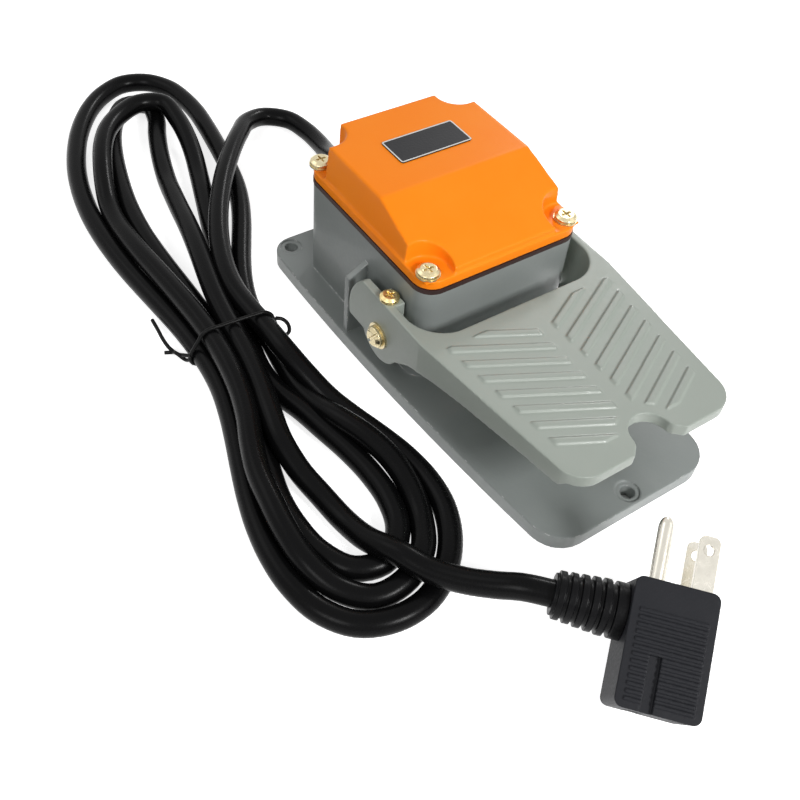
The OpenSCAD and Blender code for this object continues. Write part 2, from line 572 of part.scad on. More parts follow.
// ---- inner wires ----
core_y = 61;
core_r = 1.2;
wire_line_pts = [[-2, core_y, 27], [-5, 58, 27], [-9.5, 60, 34], [-11.5, 60, 46], [-9, 57, 53], [-4.5, 52.5, 53], [-4.2, 49.5, 51]];
wire_load_pts = [[2, core_y, 27], [6, 58.5, 27], [11.5, 60, 34], [13, 56, 46], [12, 44, 54], [7, 34, 54], [3.9, 31.5, 51]];
wire_earth_pts = [[0, core_y, 24.2], [2, 56, 22], [8, 51, 18], [15, 50.5, 13], [20.5, 54.3, 11.4]];
module wire_line() color([0.35, 0.2, 0.1]) tube(smooth_path(wire_line_pts, 3), core_r, 8);
module wire_load() color([0.1, 0.1, 0.1]) tube(smooth_path(wire_load_pts, 3), core_r, 8);
module wire_earth() color([0.2, 0.5, 0.2]) {
    tube(smooth_path(wire_earth_pts, 3), core_r, 8);
    difference() {
        translate([earth_x, earth_y, post_z]) cylinder(r = 3.6, h = 1);
        translate([earth_x, earth_y, post_z - cut]) cylinder(r = m3_r + 0.2, h = 3);
    }
}

// ---- cord, hank and plug ----
cord_r = cord_d / 2;
lead_pts = [[0, 61, 26], [0, 76, 26], [0, 90, 25.5], [2, 104, 21.5], [5, 118, 14.5], [9, 131.5, 8.5], [12, 145.5, 5.5], [12, 160, 4.5],
    [5, 172, 4.5], [-10, 173, 4.5], [-20, 163, 5], [-28, 150, 9]];
tail_pts = [[-88.5, -55.5, 8], [-85, -66.5, 12.5], [-80.5, -77.5, 13.5], [-75, -87, 16], [-69, -95.2, 19.5], [-63.5, -101.4, 22.3], [-57.6, -107.8, 22.7], [-53.7, -112, 22.5]];

module cord_lead() color([0.05, 0.05, 0.05]) tube(smooth_path(lead_pts, 2), cord_r, 10);

hank_h = 19;
upper_out = [[-70, 52], [-60, 75], [-51, 95], [-40, 115], [-29, 140], [-20, 165], [-18, 190], [-21, 212], [-29, 231], [-40, 241], [-55, 241], [-72, 228], [-86, 209], [-98, 186], [-105, 163], [-110, 138], [-111, 110], [-107, 80], [-97, 52]];
lower_out = [[-104, 28], [-112, 5], [-121, -25], [-125, -55], [-119, -77], [-107, -91], [-90, -95], [-74, -91], [-60, -79], [-51, -64], [-47.5, -46], [-49, -26], [-57, 0], [-65, 28]];
upper_in = [[-74, 92], [-86, 95], [-92, 115], [-90, 140], [-83, 165], [-70, 190], [-54, 214], [-44, 220], [-38, 212], [-40, 190], [-50, 165], [-60, 135]];
lower_in = [[-80, 8], [-88, 5], [-98, -25], [-103, -52], [-98, -68], [-86, -73], [-74, -66], [-68, -48], [-70, -25]];
module cord_hank() color([0.05, 0.05, 0.05]) linear_extrude(hank_h) difference() {
    polygon(closed_path(concat(upper_out, lower_out), 3));
    polygon(closed_path(upper_in, 3));
    polygon(closed_path(lower_in, 3));
}
module cord_tail() color([0.05, 0.05, 0.05]) tube(smooth_path(tail_pts, 2), cord_r, 10);

tie_y = 46;
module twist_tie() color([0.04, 0.04, 0.04]) {
    difference() {
        translate([-103, tie_y - 2, 0]) cube([38, 4, hank_h + 1.2]);
        translate([-101.8, tie_y - 3, 1.2]) cube([35.6, 6, hank_h - 1.2]);
    }
    tube([[-100, tie_y, hank_h + 1.6], [-105, tie_y + 6, hank_h + 2.5], [-110, tie_y + 16, hank_h]], 0.8, 6);
    tube([[-100, tie_y, hank_h + 1.6], [-107, tie_y, hank_h + 2], [-113, tie_y - 8, hank_h - 3]], 0.8, 6);
}

plug_yaw = 42;
plug_pitch = 25;
plug_roll = 3;
plug_x0 = -plug_w / 2;
plug_z = 0.05 + plug_w / 2 * sin(plug_roll) * cos(plug_pitch) + plug_len * sin(plug_pitch) + plug_thk / 2 * cos(plug_roll) * cos(plug_pitch);
relief_y = -10.5;
relief_len = 21.5;
relief_r = 8.6;
pin_x = -4.5;
earth_pin_r = 2.38;
earth_pin_len = 26;
module place_plug() translate([-27.2, -126.2, plug_z]) rotate([0, 0, plug_yaw - 90]) rotate([plug_pitch, 0, 0]) rotate([0, plug_roll, 0]) children();

module plug_body() color([0.08, 0.08, 0.085]) place_plug() difference() {
    union() {
        translate([0, 0, -plug_thk / 2]) linear_extrude(plug_thk) rrect(plug_x0, -plug_x0, -plug_len, 0, 2.5);
        // fine grip ribs over the lower two thirds of both broad faces
        for (s = [-1, 1]) for (i = [0:12]) translate([plug_x0 + 2.5, -plug_len + 2.2 + i * 2.1, s * plug_thk / 2 - 0.4]) cube([plug_w - 5, 1, 0.8]);
    }
    // groove down the broad face
    for (s = [-1, 1]) translate([plug_x0 + 7.5, -plug_len - cut, s * (plug_thk / 2 - 0.6) - 0.6]) cube([3.6, 17, 2.2]);
    // sockets for the blades and the pin
    for (z = [-blade_gap / 2, blade_gap / 2]) translate([pin_x + earth_gap - 3.2, -8, z - 0.8]) cube([6.4, 9, 1.6]);
    translate([pin_x, cut, 0]) rotate([90, 0, 0]) cylinder(r = 2.42, h = 9);
    // receptacle in the back face
    for (z = [-blade_gap / 2, blade_gap / 2]) translate([pin_x + earth_gap - 3.6, -plug_len - cut, z - 1]) cube([7.2, 15, 2]);
    translate([pin_x, -plug_len - cut, 0]) rotate([-90, 0, 0]) cylinder(r = 2.7, h = 15);
}
module plug_strain_relief() color([0.06, 0.06, 0.06]) place_plug() translate([plug_x0, relief_y, 0]) rotate([0, -90, 0]) difference() {
    union() {
        cylinder(r = relief_r, h = 3.5);
        translate([0, 0, 3.5]) cylinder(r1 = relief_r - 1.2, r2 = relief_r - 2.2, h = relief_len - 3.5);
        for (i = [0:4]) translate([0, 0, 5.2 + i * 3.3]) cylinder(r = relief_r - 0.3 * i, h = 2);
    }
    translate([0, 0, relief_len - 8]) cylinder(r = cord_r + 0.02, h = 9);
}
module plug_blades() color([0.85, 0.82, 0.72]) place_plug() for (z = [-blade_gap / 2, blade_gap / 2]) difference() {
    translate([pin_x + earth_gap - 3.17, -7.9, z - 0.76]) union() {
        cube([6.34, 23, 1.52]);
        translate([1, 0, 0]) cube([4.34, 24.6, 1.52]);
    }
    translate([pin_x + earth_gap, 12.5, z - cut]) cylinder(r = 1.6, h = 2 * cut);
}
module plug_ground_pin() color([0.85, 0.82, 0.72]) place_plug() translate([pin_x, -7.9, 0]) rotate([-90, 0, 0]) {
    cylinder(r = earth_pin_r, h = earth_pin_len);
    translate([0, 0, earth_pin_len]) cylinder(r1 = earth_pin_r, r2 = 0.9, h = 3);
}

base_housing();
cover();
cover_gasket();
cover_screws();
cover_washers();
nameplate();
pedal();
pivot_shaft();
shaft_bush_left();
shaft_bush_right();
pivot_screws();
pivot_washers();
arm_set_screws();
cam_lever();
lever_screw();
return_spring();
switch_bracket();
bracket_screws();
switch_body();
switch_plunger();
switch_terminals();
switch_screws();
earth_screw();
gland_body();
gland_seal();
gland_nut();
gland_locknut();
wire_line();
wire_load();
wire_earth();
cord_lead();
cord_hank();
cord_tail();
twist_tie();
plug_body();
plug_strain_relief();
plug_blades();
plug_ground_pin();
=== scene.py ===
"""Visual model of an industrial foot switch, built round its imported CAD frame.

The cover, pedal, screws, gland nut and plug are copies of the CAD solids with softened edges. The mains cord is
one swept tube, wound three times round its tied hank. The tie, the plug's blades and earth pin, and the light
edge of the blank nameplate are made here. Every size is in metres in the frame of the CAD part: +Z up, -Y
towards the toe, +Y towards the cord gland.
"""

import json
import logging
import math
from dataclasses import dataclass
from enum import Enum
from typing import Sequence

import bmesh
import bpy
import numpy as np
from mathutils import Matrix, Vector
from mathutils.geometry import convex_hull_2d

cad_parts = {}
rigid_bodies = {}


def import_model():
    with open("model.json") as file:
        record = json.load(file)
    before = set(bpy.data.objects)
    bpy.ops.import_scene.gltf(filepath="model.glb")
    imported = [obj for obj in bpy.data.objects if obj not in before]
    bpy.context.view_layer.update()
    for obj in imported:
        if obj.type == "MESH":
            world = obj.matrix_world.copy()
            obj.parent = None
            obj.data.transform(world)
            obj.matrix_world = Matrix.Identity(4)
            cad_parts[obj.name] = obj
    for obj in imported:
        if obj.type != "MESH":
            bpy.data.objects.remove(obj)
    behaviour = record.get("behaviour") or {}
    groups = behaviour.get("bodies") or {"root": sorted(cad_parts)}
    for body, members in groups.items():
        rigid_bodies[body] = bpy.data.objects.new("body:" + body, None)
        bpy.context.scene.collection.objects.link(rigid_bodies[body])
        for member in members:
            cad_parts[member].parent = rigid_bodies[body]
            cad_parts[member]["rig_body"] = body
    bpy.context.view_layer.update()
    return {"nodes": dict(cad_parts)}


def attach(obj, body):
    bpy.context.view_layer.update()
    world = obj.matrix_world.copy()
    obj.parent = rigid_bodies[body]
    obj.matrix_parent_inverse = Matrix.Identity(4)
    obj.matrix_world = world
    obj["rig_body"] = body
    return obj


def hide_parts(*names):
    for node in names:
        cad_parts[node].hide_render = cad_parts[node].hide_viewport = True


logging.basicConfig(level=logging.INFO, format="%(levelname)s %(message)s")
log = logging.getLogger("foot_switch")

MM = 0.001
UP = np.array([0.0, 0.0, 1.0])
WHITE = (1.0, 1.0, 1.0, 1.0)

Pair = tuple[float, float]
Triple = tuple[float, float, float]


# ------------------------------------------------------------------------------------------ shader graphs

MIX_FACTOR, MIX_A, MIX_B, MIX_COLOUR = 0, 6, 7, 2  # sockets of a Mix node that mixes colours
COLUMN_WIDTH, ROW_HEIGHT, ROWS = 180, 160, 5  # how the nodes of a tree are laid out


class Graph:
    """A node tree with short calls to add nodes and links."""

    def __init__(self, tree: bpy.types.NodeTree) -> None:
        """Starts on a tree, whose nodes are laid out from left to right."""
        self.tree = tree
        self.column = 0

    def add(self, kind: str, inputs: dict[str | int, object] | None = None, **settings: object) -> bpy.types.Node:
        """Adds a node, sets its properties, and fills or links its inputs.

        Args:
            kind: bl_idname of the node.
            inputs: socket name or index to a value, or to the output socket that feeds it.
            settings: properties of the node, such as operation.

        Returns:
            The new node.
        """
        node = self.tree.nodes.new(kind)
        node.location = (self.column * COLUMN_WIDTH, -(self.column % ROWS) * ROW_HEIGHT)
        self.column += 1
        for name, value in settings.items():
            setattr(node, name, value)
        for key, value in (inputs or {}).items():
            self.feed(node.inputs[key], value)
        return node

    def feed(self, socket: bpy.types.NodeSocket, value: object) -> None:
        """Gives an input socket a value.

        Args:
            socket: the input.
            value: a plain value, or the output socket to link to it.
        """
        if isinstance(value, bpy.types.NodeSocket):
            self.tree.links.new(value, socket)
        else:
            socket.default_value = value

    def math(self, operation: str, a: object, b: object = 0.0, clamp: bool = False) -> bpy.types.NodeSocket:
        """One Math node, given as its output socket."""
        return self.add("ShaderNodeMath", {0: a, 1: b}, operation=operation, use_clamp=clamp).outputs[0]

    def vector_math(self, operation: str, a: object, b: object = (0.0, 0.0, 0.0)) -> bpy.types.Node:
        """One Vector Math node."""
        return self.add("ShaderNodeVectorMath", {0: a, 1: b}, operation=operation)

    def ramp(self, value: object, low: float, high: float, to: Pair = (0.0, 1.0)) -> bpy.types.NodeSocket:
        """Maps low..high to the two values of to, clamped."""
        limits = {"From Min": low, "From Max": high, "To Min": to[0], "To Max": to[1]}
        return self.add("ShaderNodeMapRange", {"Value": value, **limits}).outputs[0]

    def mix(self, factor: object, a: object, b: object) -> bpy.types.NodeSocket:
        """Mixes two colours.

        Args:
            factor: share of the second colour, 0 to 1.
            a: first colour.
            b: second colour.

        Returns:
            The mixed colour.
        """
        node = self.tree.nodes.new("ShaderNodeMix")
        node.data_type = "RGBA"
        for index, value in ((MIX_FACTOR, factor), (MIX_A, a), (MIX_B, b)):
            self.feed(node.inputs[index], value)
        return node.outputs[MIX_COLOUR]


def new_group(
    name: str, inputs: Sequence[tuple[str, str, float]], outputs: Sequence[str]
) -> tuple[Graph, bpy.types.Node, bpy.types.Node]:
    """An empty node group with its sockets and its two end nodes.

    Args:
        name: name of the group.
        inputs: (name, socket type, default) of each input.
        outputs: name of each output, all of them numbers.

    Returns:
        The graph, its input node and its output node.
    """
    tree = bpy.data.node_groups.new(name, "ShaderNodeTree")
    for label, kind, default in inputs:
        socket = tree.interface.new_socket(label, in_out="INPUT", socket_type=kind)
        if kind == "NodeSocketFloat":
            socket.default_value = default
    for label in outputs:
        tree.interface.new_socket(label, in_out="OUTPUT", socket_type="NodeSocketFloat")
    return Graph(tree), tree.nodes.new("NodeGroupInput"), tree.nodes.new("NodeGroupOutput")


CLOUDS = (0.3, 0.7)  # range of a noise that is stretched to 0..1
PIT_REACH, PIT_DEPTH = 0.5, 0.35  # how far a pit reaches, in cells, and its share of the height
WORN_EDGE = (0.995, 0.9)  # how far the rounded normal leaves the true one, none to full
SCRATCH = (0.66, 0.72)  # the narrow band of noise that reads as a scratch
SCRATCH_LAYS = ((0.5, (1.0, 26.0, 9.0)), (2.1, (30.0, 1.2, 11.0)))  # turn and stretch of each lay


def grain_group() -> bpy.types.NodeTree:
    """Cloudy variation and fine grain of a surface.

    The broad mask and the fine one are stretched noise. The height is the fine noise plus shallow round pits.

    Returns:
        The group, with the outputs Broad, Fine and Height.
    """
    graph, start, end = new_group(
        "surface_grain",
        [
            ("Vector", "NodeSocketVector", 0.0),
            ("Fine scale", "NodeSocketFloat", 900.0),
            ("Broad scale", "NodeSocketFloat", 40.0),
        ],
        ["Broad", "Fine", "Height"],
    )
    vector, scale = start.outputs["Vector"], start.outputs["Fine scale"]
    broad = graph.add(
        "ShaderNodeTexNoise",
        {"Vector": vector, "Scale": start.outputs["Broad scale"], "Detail": 4.0, "Roughness": 0.6},
    )
    fine = graph.add("ShaderNodeTexNoise", {"Vector": vector, "Scale": scale, "Detail": 3.0, "Roughness": 0.55})
    pits = graph.add("ShaderNodeTexVoronoi", {"Vector": vector, "Scale": scale})
    pitted = graph.math("MULTIPLY", graph.ramp(pits.outputs["Distance"], 0.0, PIT_REACH), PIT_DEPTH)
    graph.feed(end.inputs["Height"], graph.math("ADD", fine.outputs[0], pitted))
    graph.feed(end.inputs["Broad"], graph.ramp(broad.outputs[0], *CLOUDS))
    graph.feed(end.inputs["Fine"], graph.ramp(fine.outputs[0], *CLOUDS))
    return graph.tree


def wear_group() -> bpy.types.NodeTree:
    """Wear on outer edges: where the rounded normal leaves the true one, broken up by noise.

    Returns:
        The group, with the output Wear, 0 or 1.
    """
    graph, start, end = new_group(
        "edge_wear",
        [
            ("Vector", "NodeSocketVector", 0.0),
            ("Radius", "NodeSocketFloat", 0.0006),
            ("Breakup scale", "NodeSocketFloat", 260.0),
            ("Threshold", "NodeSocketFloat", 0.5),
        ],
        ["Wear"],
    )
    rounded = graph.add("ShaderNodeBevel", {"Radius": start.outputs["Radius"]}, samples=4)
    true = graph.add("ShaderNodeNewGeometry").outputs["Normal"]
    edge = graph.ramp(graph.vector_math("DOT_PRODUCT", rounded.outputs[0], true).outputs["Value"], *WORN_EDGE)
    scale = start.outputs["Breakup scale"]
    noise = graph.add(
        "ShaderNodeTexNoise", {"Vector": start.outputs["Vector"], "Scale": scale, "Detail": 5.0, "Roughness": 0.7}
    )
    broken = graph.math("MULTIPLY", edge, noise.outputs[0])
    graph.feed(end.inputs["Wear"], graph.math("GREATER_THAN", broken, start.outputs["Threshold"]))
    return graph.tree


def scratch_group() -> bpy.types.NodeTree:
    """Fine scratches and handling marks: stretched noise in two directions, the stronger of the two.

    Returns:
        The group, with the output Mask.
    """
    graph, start, end = new_group(
        "fine_scratches",
        [("Vector", "NodeSocketVector", 0.0), ("Scale", "NodeSocketFloat", 120.0)],
        ["Mask"],
    )
    vector, scale = start.outputs["Vector"], start.outputs["Scale"]
    masks = []
    for angle, stretch in SCRATCH_LAYS:
        turn = {"Vector": vector, "Rotation": (0.0, 0.0, angle), "Scale": stretch}
        turned = graph.add("ShaderNodeMapping", turn).outputs[0]
        noise = graph.add("ShaderNodeTexNoise", {"Vector": turned, "Scale": scale, "Detail": 2.0})
        masks.append(graph.ramp(noise.outputs[0], *SCRATCH))
    graph.feed(end.inputs["Mask"], graph.math("MAXIMUM", *masks))
    return graph.tree


# ----------------------------------------------------------------------------------------------- finishes


class Kind(Enum):
    """How a surface is built up."""

    ENAMEL = "enamel over cast metal"
    METAL = "bare or plated metal"
    PLASTIC = "moulded plastic or rubber"


@dataclass(frozen=True)
class Finish:
    """One surface finish, as the numbers that its shader needs.

    Attributes:
        kind: how the surface is built up.
        colour: base colour, linear RGB.
        tint: second colour that the broad variation mixes in.
        roughness: middle roughness.
        spread: how far the roughness varies.
        coat: weight of the clear coat.
        specular: strength of the plain reflection, 0.5 for most plastics and paints.
        fine: scale of the fine grain, per metre.
        bump: height of the grain, in metres.
        wear: threshold of the edge wear on enamel, 1 for none.
        bare: colour under the worn edge.
        soft: radius, in metres, of the edges that the shading rounds off, or 0.
    """

    kind: Kind
    colour: Triple
    tint: Triple
    roughness: float = 0.4
    spread: float = 0.08
    coat: float = 0.0
    specular: float = 0.5
    fine: float = 900.0
    bump: float = 0.00004
    wear: float = 1.0
    bare: Triple = (0.55, 0.55, 0.54)
    soft: float = 0.0


COAT_ROUGHNESS = 0.12
SCRATCH_ROUGHNESS = 0.06  # what a scratch adds to the roughness
SCRATCH_SHOWS, SCRATCH_DARK = 0.12, 0.7  # how much a scratch shows on metal, and its share of the colour
WORN_METAL = 0.7  # how metallic a worn edge is
SOFT_SAMPLES = 6  # samples of the shading that rounds an edge off


def rgba(colour: Sequence[float]) -> tuple[float, float, float, float]:
    """A colour with full alpha."""
    return (colour[0], colour[1], colour[2], 1.0)


class MaterialShop:
    """Builds each finish once and hands out its material."""

    def __init__(self) -> None:
        """Builds the node groups that the finishes share."""
        self.grain = grain_group()
        self.wear = wear_group()
        self.scratch = scratch_group()
        self.made: dict[str, bpy.types.Material] = {}

    def get(self, name: str) -> bpy.types.Material:
        """The material of a finish, made on first use.

        Args:
            name: name of the finish, and of its material.

        Returns:
            The material.
        """
        if name not in self.made:
            self.made[name] = self._build(name, FINISHES[name])
        return self.made[name]

    def paint(self, obj: bpy.types.Object, name: str) -> None:
        """Gives an object one finish in every slot, kept on the object.

        Args:
            obj: the object, a new piece or a CAD node's.
            name: name of the finish.
        """
        material = self.get(name)
        if not obj.material_slots:
            obj.data.materials.append(material)
        for entry in obj.material_slots:
            entry.link = "OBJECT"
            entry.material = material

    def _build(self, name: str, finish: Finish) -> bpy.types.Material:
        """A material: grain in colour, roughness and bump, scratches, and wear where the finish has it.

        Args:
            name: name of the material.
            finish: its numbers.

        Returns:
            The material.
        """
        material = bpy.data.materials.new(name)
        material.use_nodes = True
        graph = Graph(material.node_tree)
        shader = material.node_tree.nodes["Principled BSDF"]
        metallic = finish.kind is Kind.METAL
        place = graph.add("ShaderNodeTexCoord").outputs["Object"]
        grain = graph.add("ShaderNodeGroup", node_tree=self.grain)
        graph.feed(grain.inputs["Vector"], place)
        graph.feed(grain.inputs["Fine scale"], finish.fine)
        colour = graph.mix(grain.outputs["Broad"], rgba(finish.colour), rgba(finish.tint))
        scratch = graph.add("ShaderNodeGroup", node_tree=self.scratch)
        graph.feed(scratch.inputs["Vector"], place)
        marks = scratch.outputs["Mask"]
        low, high = finish.roughness - finish.spread, finish.roughness + finish.spread
        rough = graph.ramp(grain.outputs["Fine"], 0.0, 1.0, (low, high))
        rough = graph.math("ADD", rough, graph.math("MULTIPLY", marks, SCRATCH_ROUGHNESS))
        graph.feed(shader.inputs["Metallic"], float(metallic))
        graph.feed(shader.inputs["Coat Weight"], finish.coat)
        graph.feed(shader.inputs["Coat Roughness"], COAT_ROUGHNESS)
        graph.feed(shader.inputs["Specular IOR Level"], finish.specular)
        if finish.kind is Kind.ENAMEL and finish.wear < 1.0:
            wear = graph.add("ShaderNodeGroup", node_tree=self.wear)
            graph.feed(wear.inputs["Vector"], place)
            graph.feed(wear.inputs["Threshold"], finish.wear)
            colour = graph.mix(wear.outputs["Wear"], colour, rgba(finish.bare))
            graph.feed(shader.inputs["Metallic"], graph.math("MULTIPLY", wear.outputs["Wear"], WORN_METAL))
        if metallic:
            dark = rgba([c * SCRATCH_DARK for c in finish.colour])
            colour = graph.mix(graph.math("MULTIPLY", marks, SCRATCH_SHOWS), colour, dark)
        relief = {"Height": grain.outputs["Height"], "Distance": finish.bump, "Strength": 1.0}
        bump = graph.add("ShaderNodeBump", relief)
        if finish.soft > 0.0:
            round_edge = graph.add("ShaderNodeBevel", {"Radius": finish.soft}, samples=SOFT_SAMPLES)
            graph.feed(bump.inputs["Normal"], round_edge.outputs[0])
        graph.feed(shader.inputs["Base Color"], colour)
        graph.feed(shader.inputs["Roughness"], rough)
        graph.feed(shader.inputs["Normal"], bump.outputs[0])
        return material


def enamel(colour: Triple, tint: Triple, roughness: float, spread: float, **more: object) -> Finish:
    """A stoved enamel over a casting."""
    return Finish(Kind.ENAMEL, colour, tint, roughness, spread, **more)


def metal(colour: Triple, tint: Triple, roughness: float, spread: float = 0.08, **more: object) -> Finish:
    """A bare or plated metal."""
    return Finish(Kind.METAL, colour, tint, roughness, spread, **more)


def plastic(colour: Triple, tint: Triple, roughness: float, spread: float = 0.08, **more: object) -> Finish:
    """A moulded plastic or rubber."""
    return Finish(Kind.PLASTIC, colour, tint, roughness, spread, **more)


# Colours are linear; after them come the roughness and its spread.
FINISHES: dict[str, Finish] = {
    "housing_paint": enamel(
        (0.214, 0.234, 0.225),
        (0.23, 0.248, 0.24),
        0.42,
        0.05,
        coat=0.12,
        fine=700,
        bump=0.00003,
        wear=0.56,
        soft=0.0012,
    ),
    "pedal_paint": enamel(
        (0.288, 0.32, 0.283), (0.306, 0.336, 0.3), 0.44, 0.05, coat=0.12, fine=700, bump=0.00003, wear=0.58
    ),
    "cover_orange": enamel(
        (0.97, 0.238, 0.005),
        (0.975, 0.256, 0.009),
        0.36,
        0.04,
        coat=0.03,
        specular=0.14,
        fine=650,
        bump=0.000025,
        wear=0.75,
        bare=(0.8, 0.35, 0.1),
    ),
    "zinc_screw": metal((0.62, 0.52, 0.3), (0.68, 0.6, 0.4), 0.28, 0.05, fine=900, bump=0.000004),
    "brass": metal((0.72, 0.55, 0.22), (0.8, 0.66, 0.36), 0.28, 0.08, fine=1500, bump=0.00001),
    "shaft_steel": metal((0.56, 0.56, 0.55), (0.6, 0.6, 0.6), 0.25, 0.06, fine=1800, bump=0.000005),
    "lever_metal": metal((0.5, 0.5, 0.49), (0.42, 0.42, 0.42), 0.45, 0.1, bump=0.00003),
    "black_oxide": metal((0.04, 0.04, 0.042), (0.06, 0.06, 0.06), 0.4, 0.08, bump=0.00001),
    "spring_steel": metal((0.4, 0.41, 0.43), (0.5, 0.5, 0.52), 0.3, 0.06, bump=0.000008),
    "sheet_steel": metal((0.6, 0.61, 0.63), (0.66, 0.67, 0.7), 0.3, 0.08, bump=0.00001),
    "earth_green": metal((0.1, 0.4, 0.14), (0.2, 0.5, 0.2), 0.35, 0.06),
    "plug_metal": metal((0.66, 0.63, 0.55), (0.69, 0.66, 0.59), 0.24, 0.04, fine=500, bump=0.000002),
    "gasket_rubber": plastic((0.02, 0.007, 0.005), (0.03, 0.01, 0.008), 0.6, 0.1),
    "switch_case": plastic((0.02, 0.02, 0.022), (0.03, 0.03, 0.03), 0.45, 0.06),
    "plunger_red": plastic((0.5, 0.03, 0.02), (0.55, 0.05, 0.03), 0.3, 0.05),
    "gland_nylon": plastic((0.006, 0.006, 0.0065), (0.01, 0.01, 0.01), 0.4, 0.06, specular=0.2),
    "seal_rubber": plastic((0.018, 0.018, 0.018), (0.024, 0.024, 0.024), 0.7, 0.08),
    "wire_brown": plastic((0.12, 0.045, 0.02), (0.14, 0.05, 0.02), 0.35, 0.05),
    "wire_black": plastic((0.012, 0.012, 0.012), (0.02, 0.02, 0.02), 0.35, 0.05),
    "wire_green": plastic((0.05, 0.3, 0.05), (0.07, 0.34, 0.07), 0.35, 0.05),
    "cord_pvc": plastic(
        (0.0022, 0.0022, 0.0024), (0.0036, 0.0036, 0.0038), 0.27, 0.04, specular=0.075, fine=1200, bump=0.00001
    ),
    "tie_pvc": plastic((0.004, 0.004, 0.004), (0.008, 0.008, 0.008), 0.3, 0.05, specular=0.08),
    "plug_pvc": plastic(
        (0.011, 0.0115, 0.014), (0.015, 0.0155, 0.0185), 0.5, 0.06, specular=0.12, fine=1300, bump=0.00003
    ),
    "relief_pvc": plastic(
        (0.003, 0.003, 0.0034), (0.0048, 0.0048, 0.0054), 0.32, 0.06, specular=0.09, fine=1300, bump=0.00003
    ),
    "plate_dark": plastic((0.012, 0.012, 0.014), (0.02, 0.02, 0.022), 0.35, 0.05, specular=0.2),
    "plate_edge": plastic((0.62, 0.64, 0.62), (0.7, 0.7, 0.68), 0.35, 0.05, bump=0.00001),
}


# ---------------------------------------------------------------------------------------- mesh building

SHARP = 50.0  # degrees between two faces above which their edge stays sharp
WELD = 2e-6  # metres within which the split corners of a CAD mesh are one
CURVE_STEPS = 24  # samples of a curve between two of its points


def linked(name: str, data: bpy.types.ID) -> bpy.types.Object:
    """A new object in the scene.

    Args:
        name: name of the object.
        data: its mesh, camera or light.

    Returns:
        The object.
    """
    obj = bpy.data.objects.new(name, data)
    bpy.context.scene.collection.objects.link(obj)
    return obj


def smooth_by_angle(mesh: bpy.types.Mesh, degrees: float = SHARP) -> None:
    """Smooth shading, with sharp edges above an angle."""
    mesh.shade_smooth()
    mesh.set_sharp_from_angle(angle=math.radians(degrees))


def new_piece(name: str, points: np.ndarray, *faces: np.ndarray) -> bpy.types.Object:
    """An object from points and faces.

    Args:
        name: name of the object and its mesh.
        points: N by 3 array, metres.
        faces: arrays of corner indices, one row for each face.

    Returns:
        The object, linked to the scene.
    """
    mesh = bpy.data.meshes.new(name)
    mesh.from_pydata(points.tolist(), [], [face for block in faces for face in block.tolist()])
    mesh.validate()
    mesh.update()
    return linked(name, mesh)


def quads(rows: int, columns: int, wrap: tuple[bool, bool]) -> np.ndarray:
    """Faces of a grid of points: a point, the next in its row, and the same two of the next row.

    Args:
        rows: rows of points.
        columns: points in a row.
        wrap: whether the last row joins the first, and whether each row is a closed ring.

    Returns:
        Corner indices, one row for each face.
    """
    i = np.arange(rows if wrap[0] else rows - 1)[:, None]
    k = np.arange(columns if wrap[1] else columns - 1)[None, :]
    below, beside = (i + 1) % rows, (k + 1) % columns
    corners = (i * columns + k, i * columns + beside, below * columns + beside, below * columns + k)
    return np.stack(np.broadcast_arrays(*corners), axis=-1).reshape(-1, 4)


def closed(ring: np.ndarray) -> np.ndarray:
    """A ring of points with its first point again at the end."""
    return np.vstack([ring, ring[:1]])


def raised(flat: np.ndarray, z: float) -> np.ndarray:
    """Flat points, all at one height."""
    return np.column_stack([flat, np.full(len(flat), z)])


def distances(line: np.ndarray) -> np.ndarray:
    """How far along a line each of its points lies."""
    return np.r_[0.0, np.cumsum(np.linalg.norm(np.diff(line, axis=0), axis=1))]


def read_off(line: np.ndarray, stops: np.ndarray, at: np.ndarray) -> np.ndarray:
    """The points of a line at some distances, where its own points lie at stops."""
    return np.column_stack([np.interp(at, stops, axis) for axis in line.T])


def catmull(points: np.ndarray, step: float) -> np.ndarray:
    """A smooth curve through points, sampled about every step.

    It is a uniform Catmull-Rom spline: between two points it is the cubic whose slope at each point is half the
    way from the point before to the point after. Beyond an end stands the mirror image of the last point but one.

    Args:
        points: N by 3 array of the points that it passes through.
        step: distance between samples.

    Returns:
        The samples, evenly spaced.
    """
    ends = np.vstack([2 * points[:1] - points[1:2], points, 2 * points[-1:] - points[-2:-1]])
    a, b, c, d = (ends[k : len(points) - 1 + k, None] for k in range(4))
    u = np.linspace(0.0, 1.0, CURVE_STEPS, endpoint=False)[:, None]
    cubic = 0.5 * (2 * b + (c - a) * u + (2 * a - 5 * b + 4 * c - d) * u**2 + (3 * b - a - 3 * c + d) * u**3)
    dense = np.vstack([cubic.reshape(-1, 3), points[-1:]])
    along = distances(dense)
    count = max(int(round(along[-1] / step)), 2)
    return read_off(dense, along, np.linspace(0.0, along[-1], count + 1))


def carried_frames(line: np.ndarray) -> tuple[np.ndarray, np.ndarray]:
    """Two unit vectors across each point of a line, carried along it without twist.

    The first vector is the one before it, less its part along the line, at unit length. The second is square to
    the line and the first. The steps run in order, because each needs the last.

    Args:
        line: N by 3 array of points.

    Returns:
        The first vectors and the second ones, N by 3 each.
    """
    tangents = np.gradient(line, axis=0)
    tangents /= np.linalg.norm(tangents, axis=1)[:, None]
    across = np.zeros_like(line)
    before = UP
    for i, tangent in enumerate(tangents):
        square = before - tangent * float(before @ tangent)
        before = across[i] = square / np.linalg.norm(square)
    return across, np.cross(tangents, across)


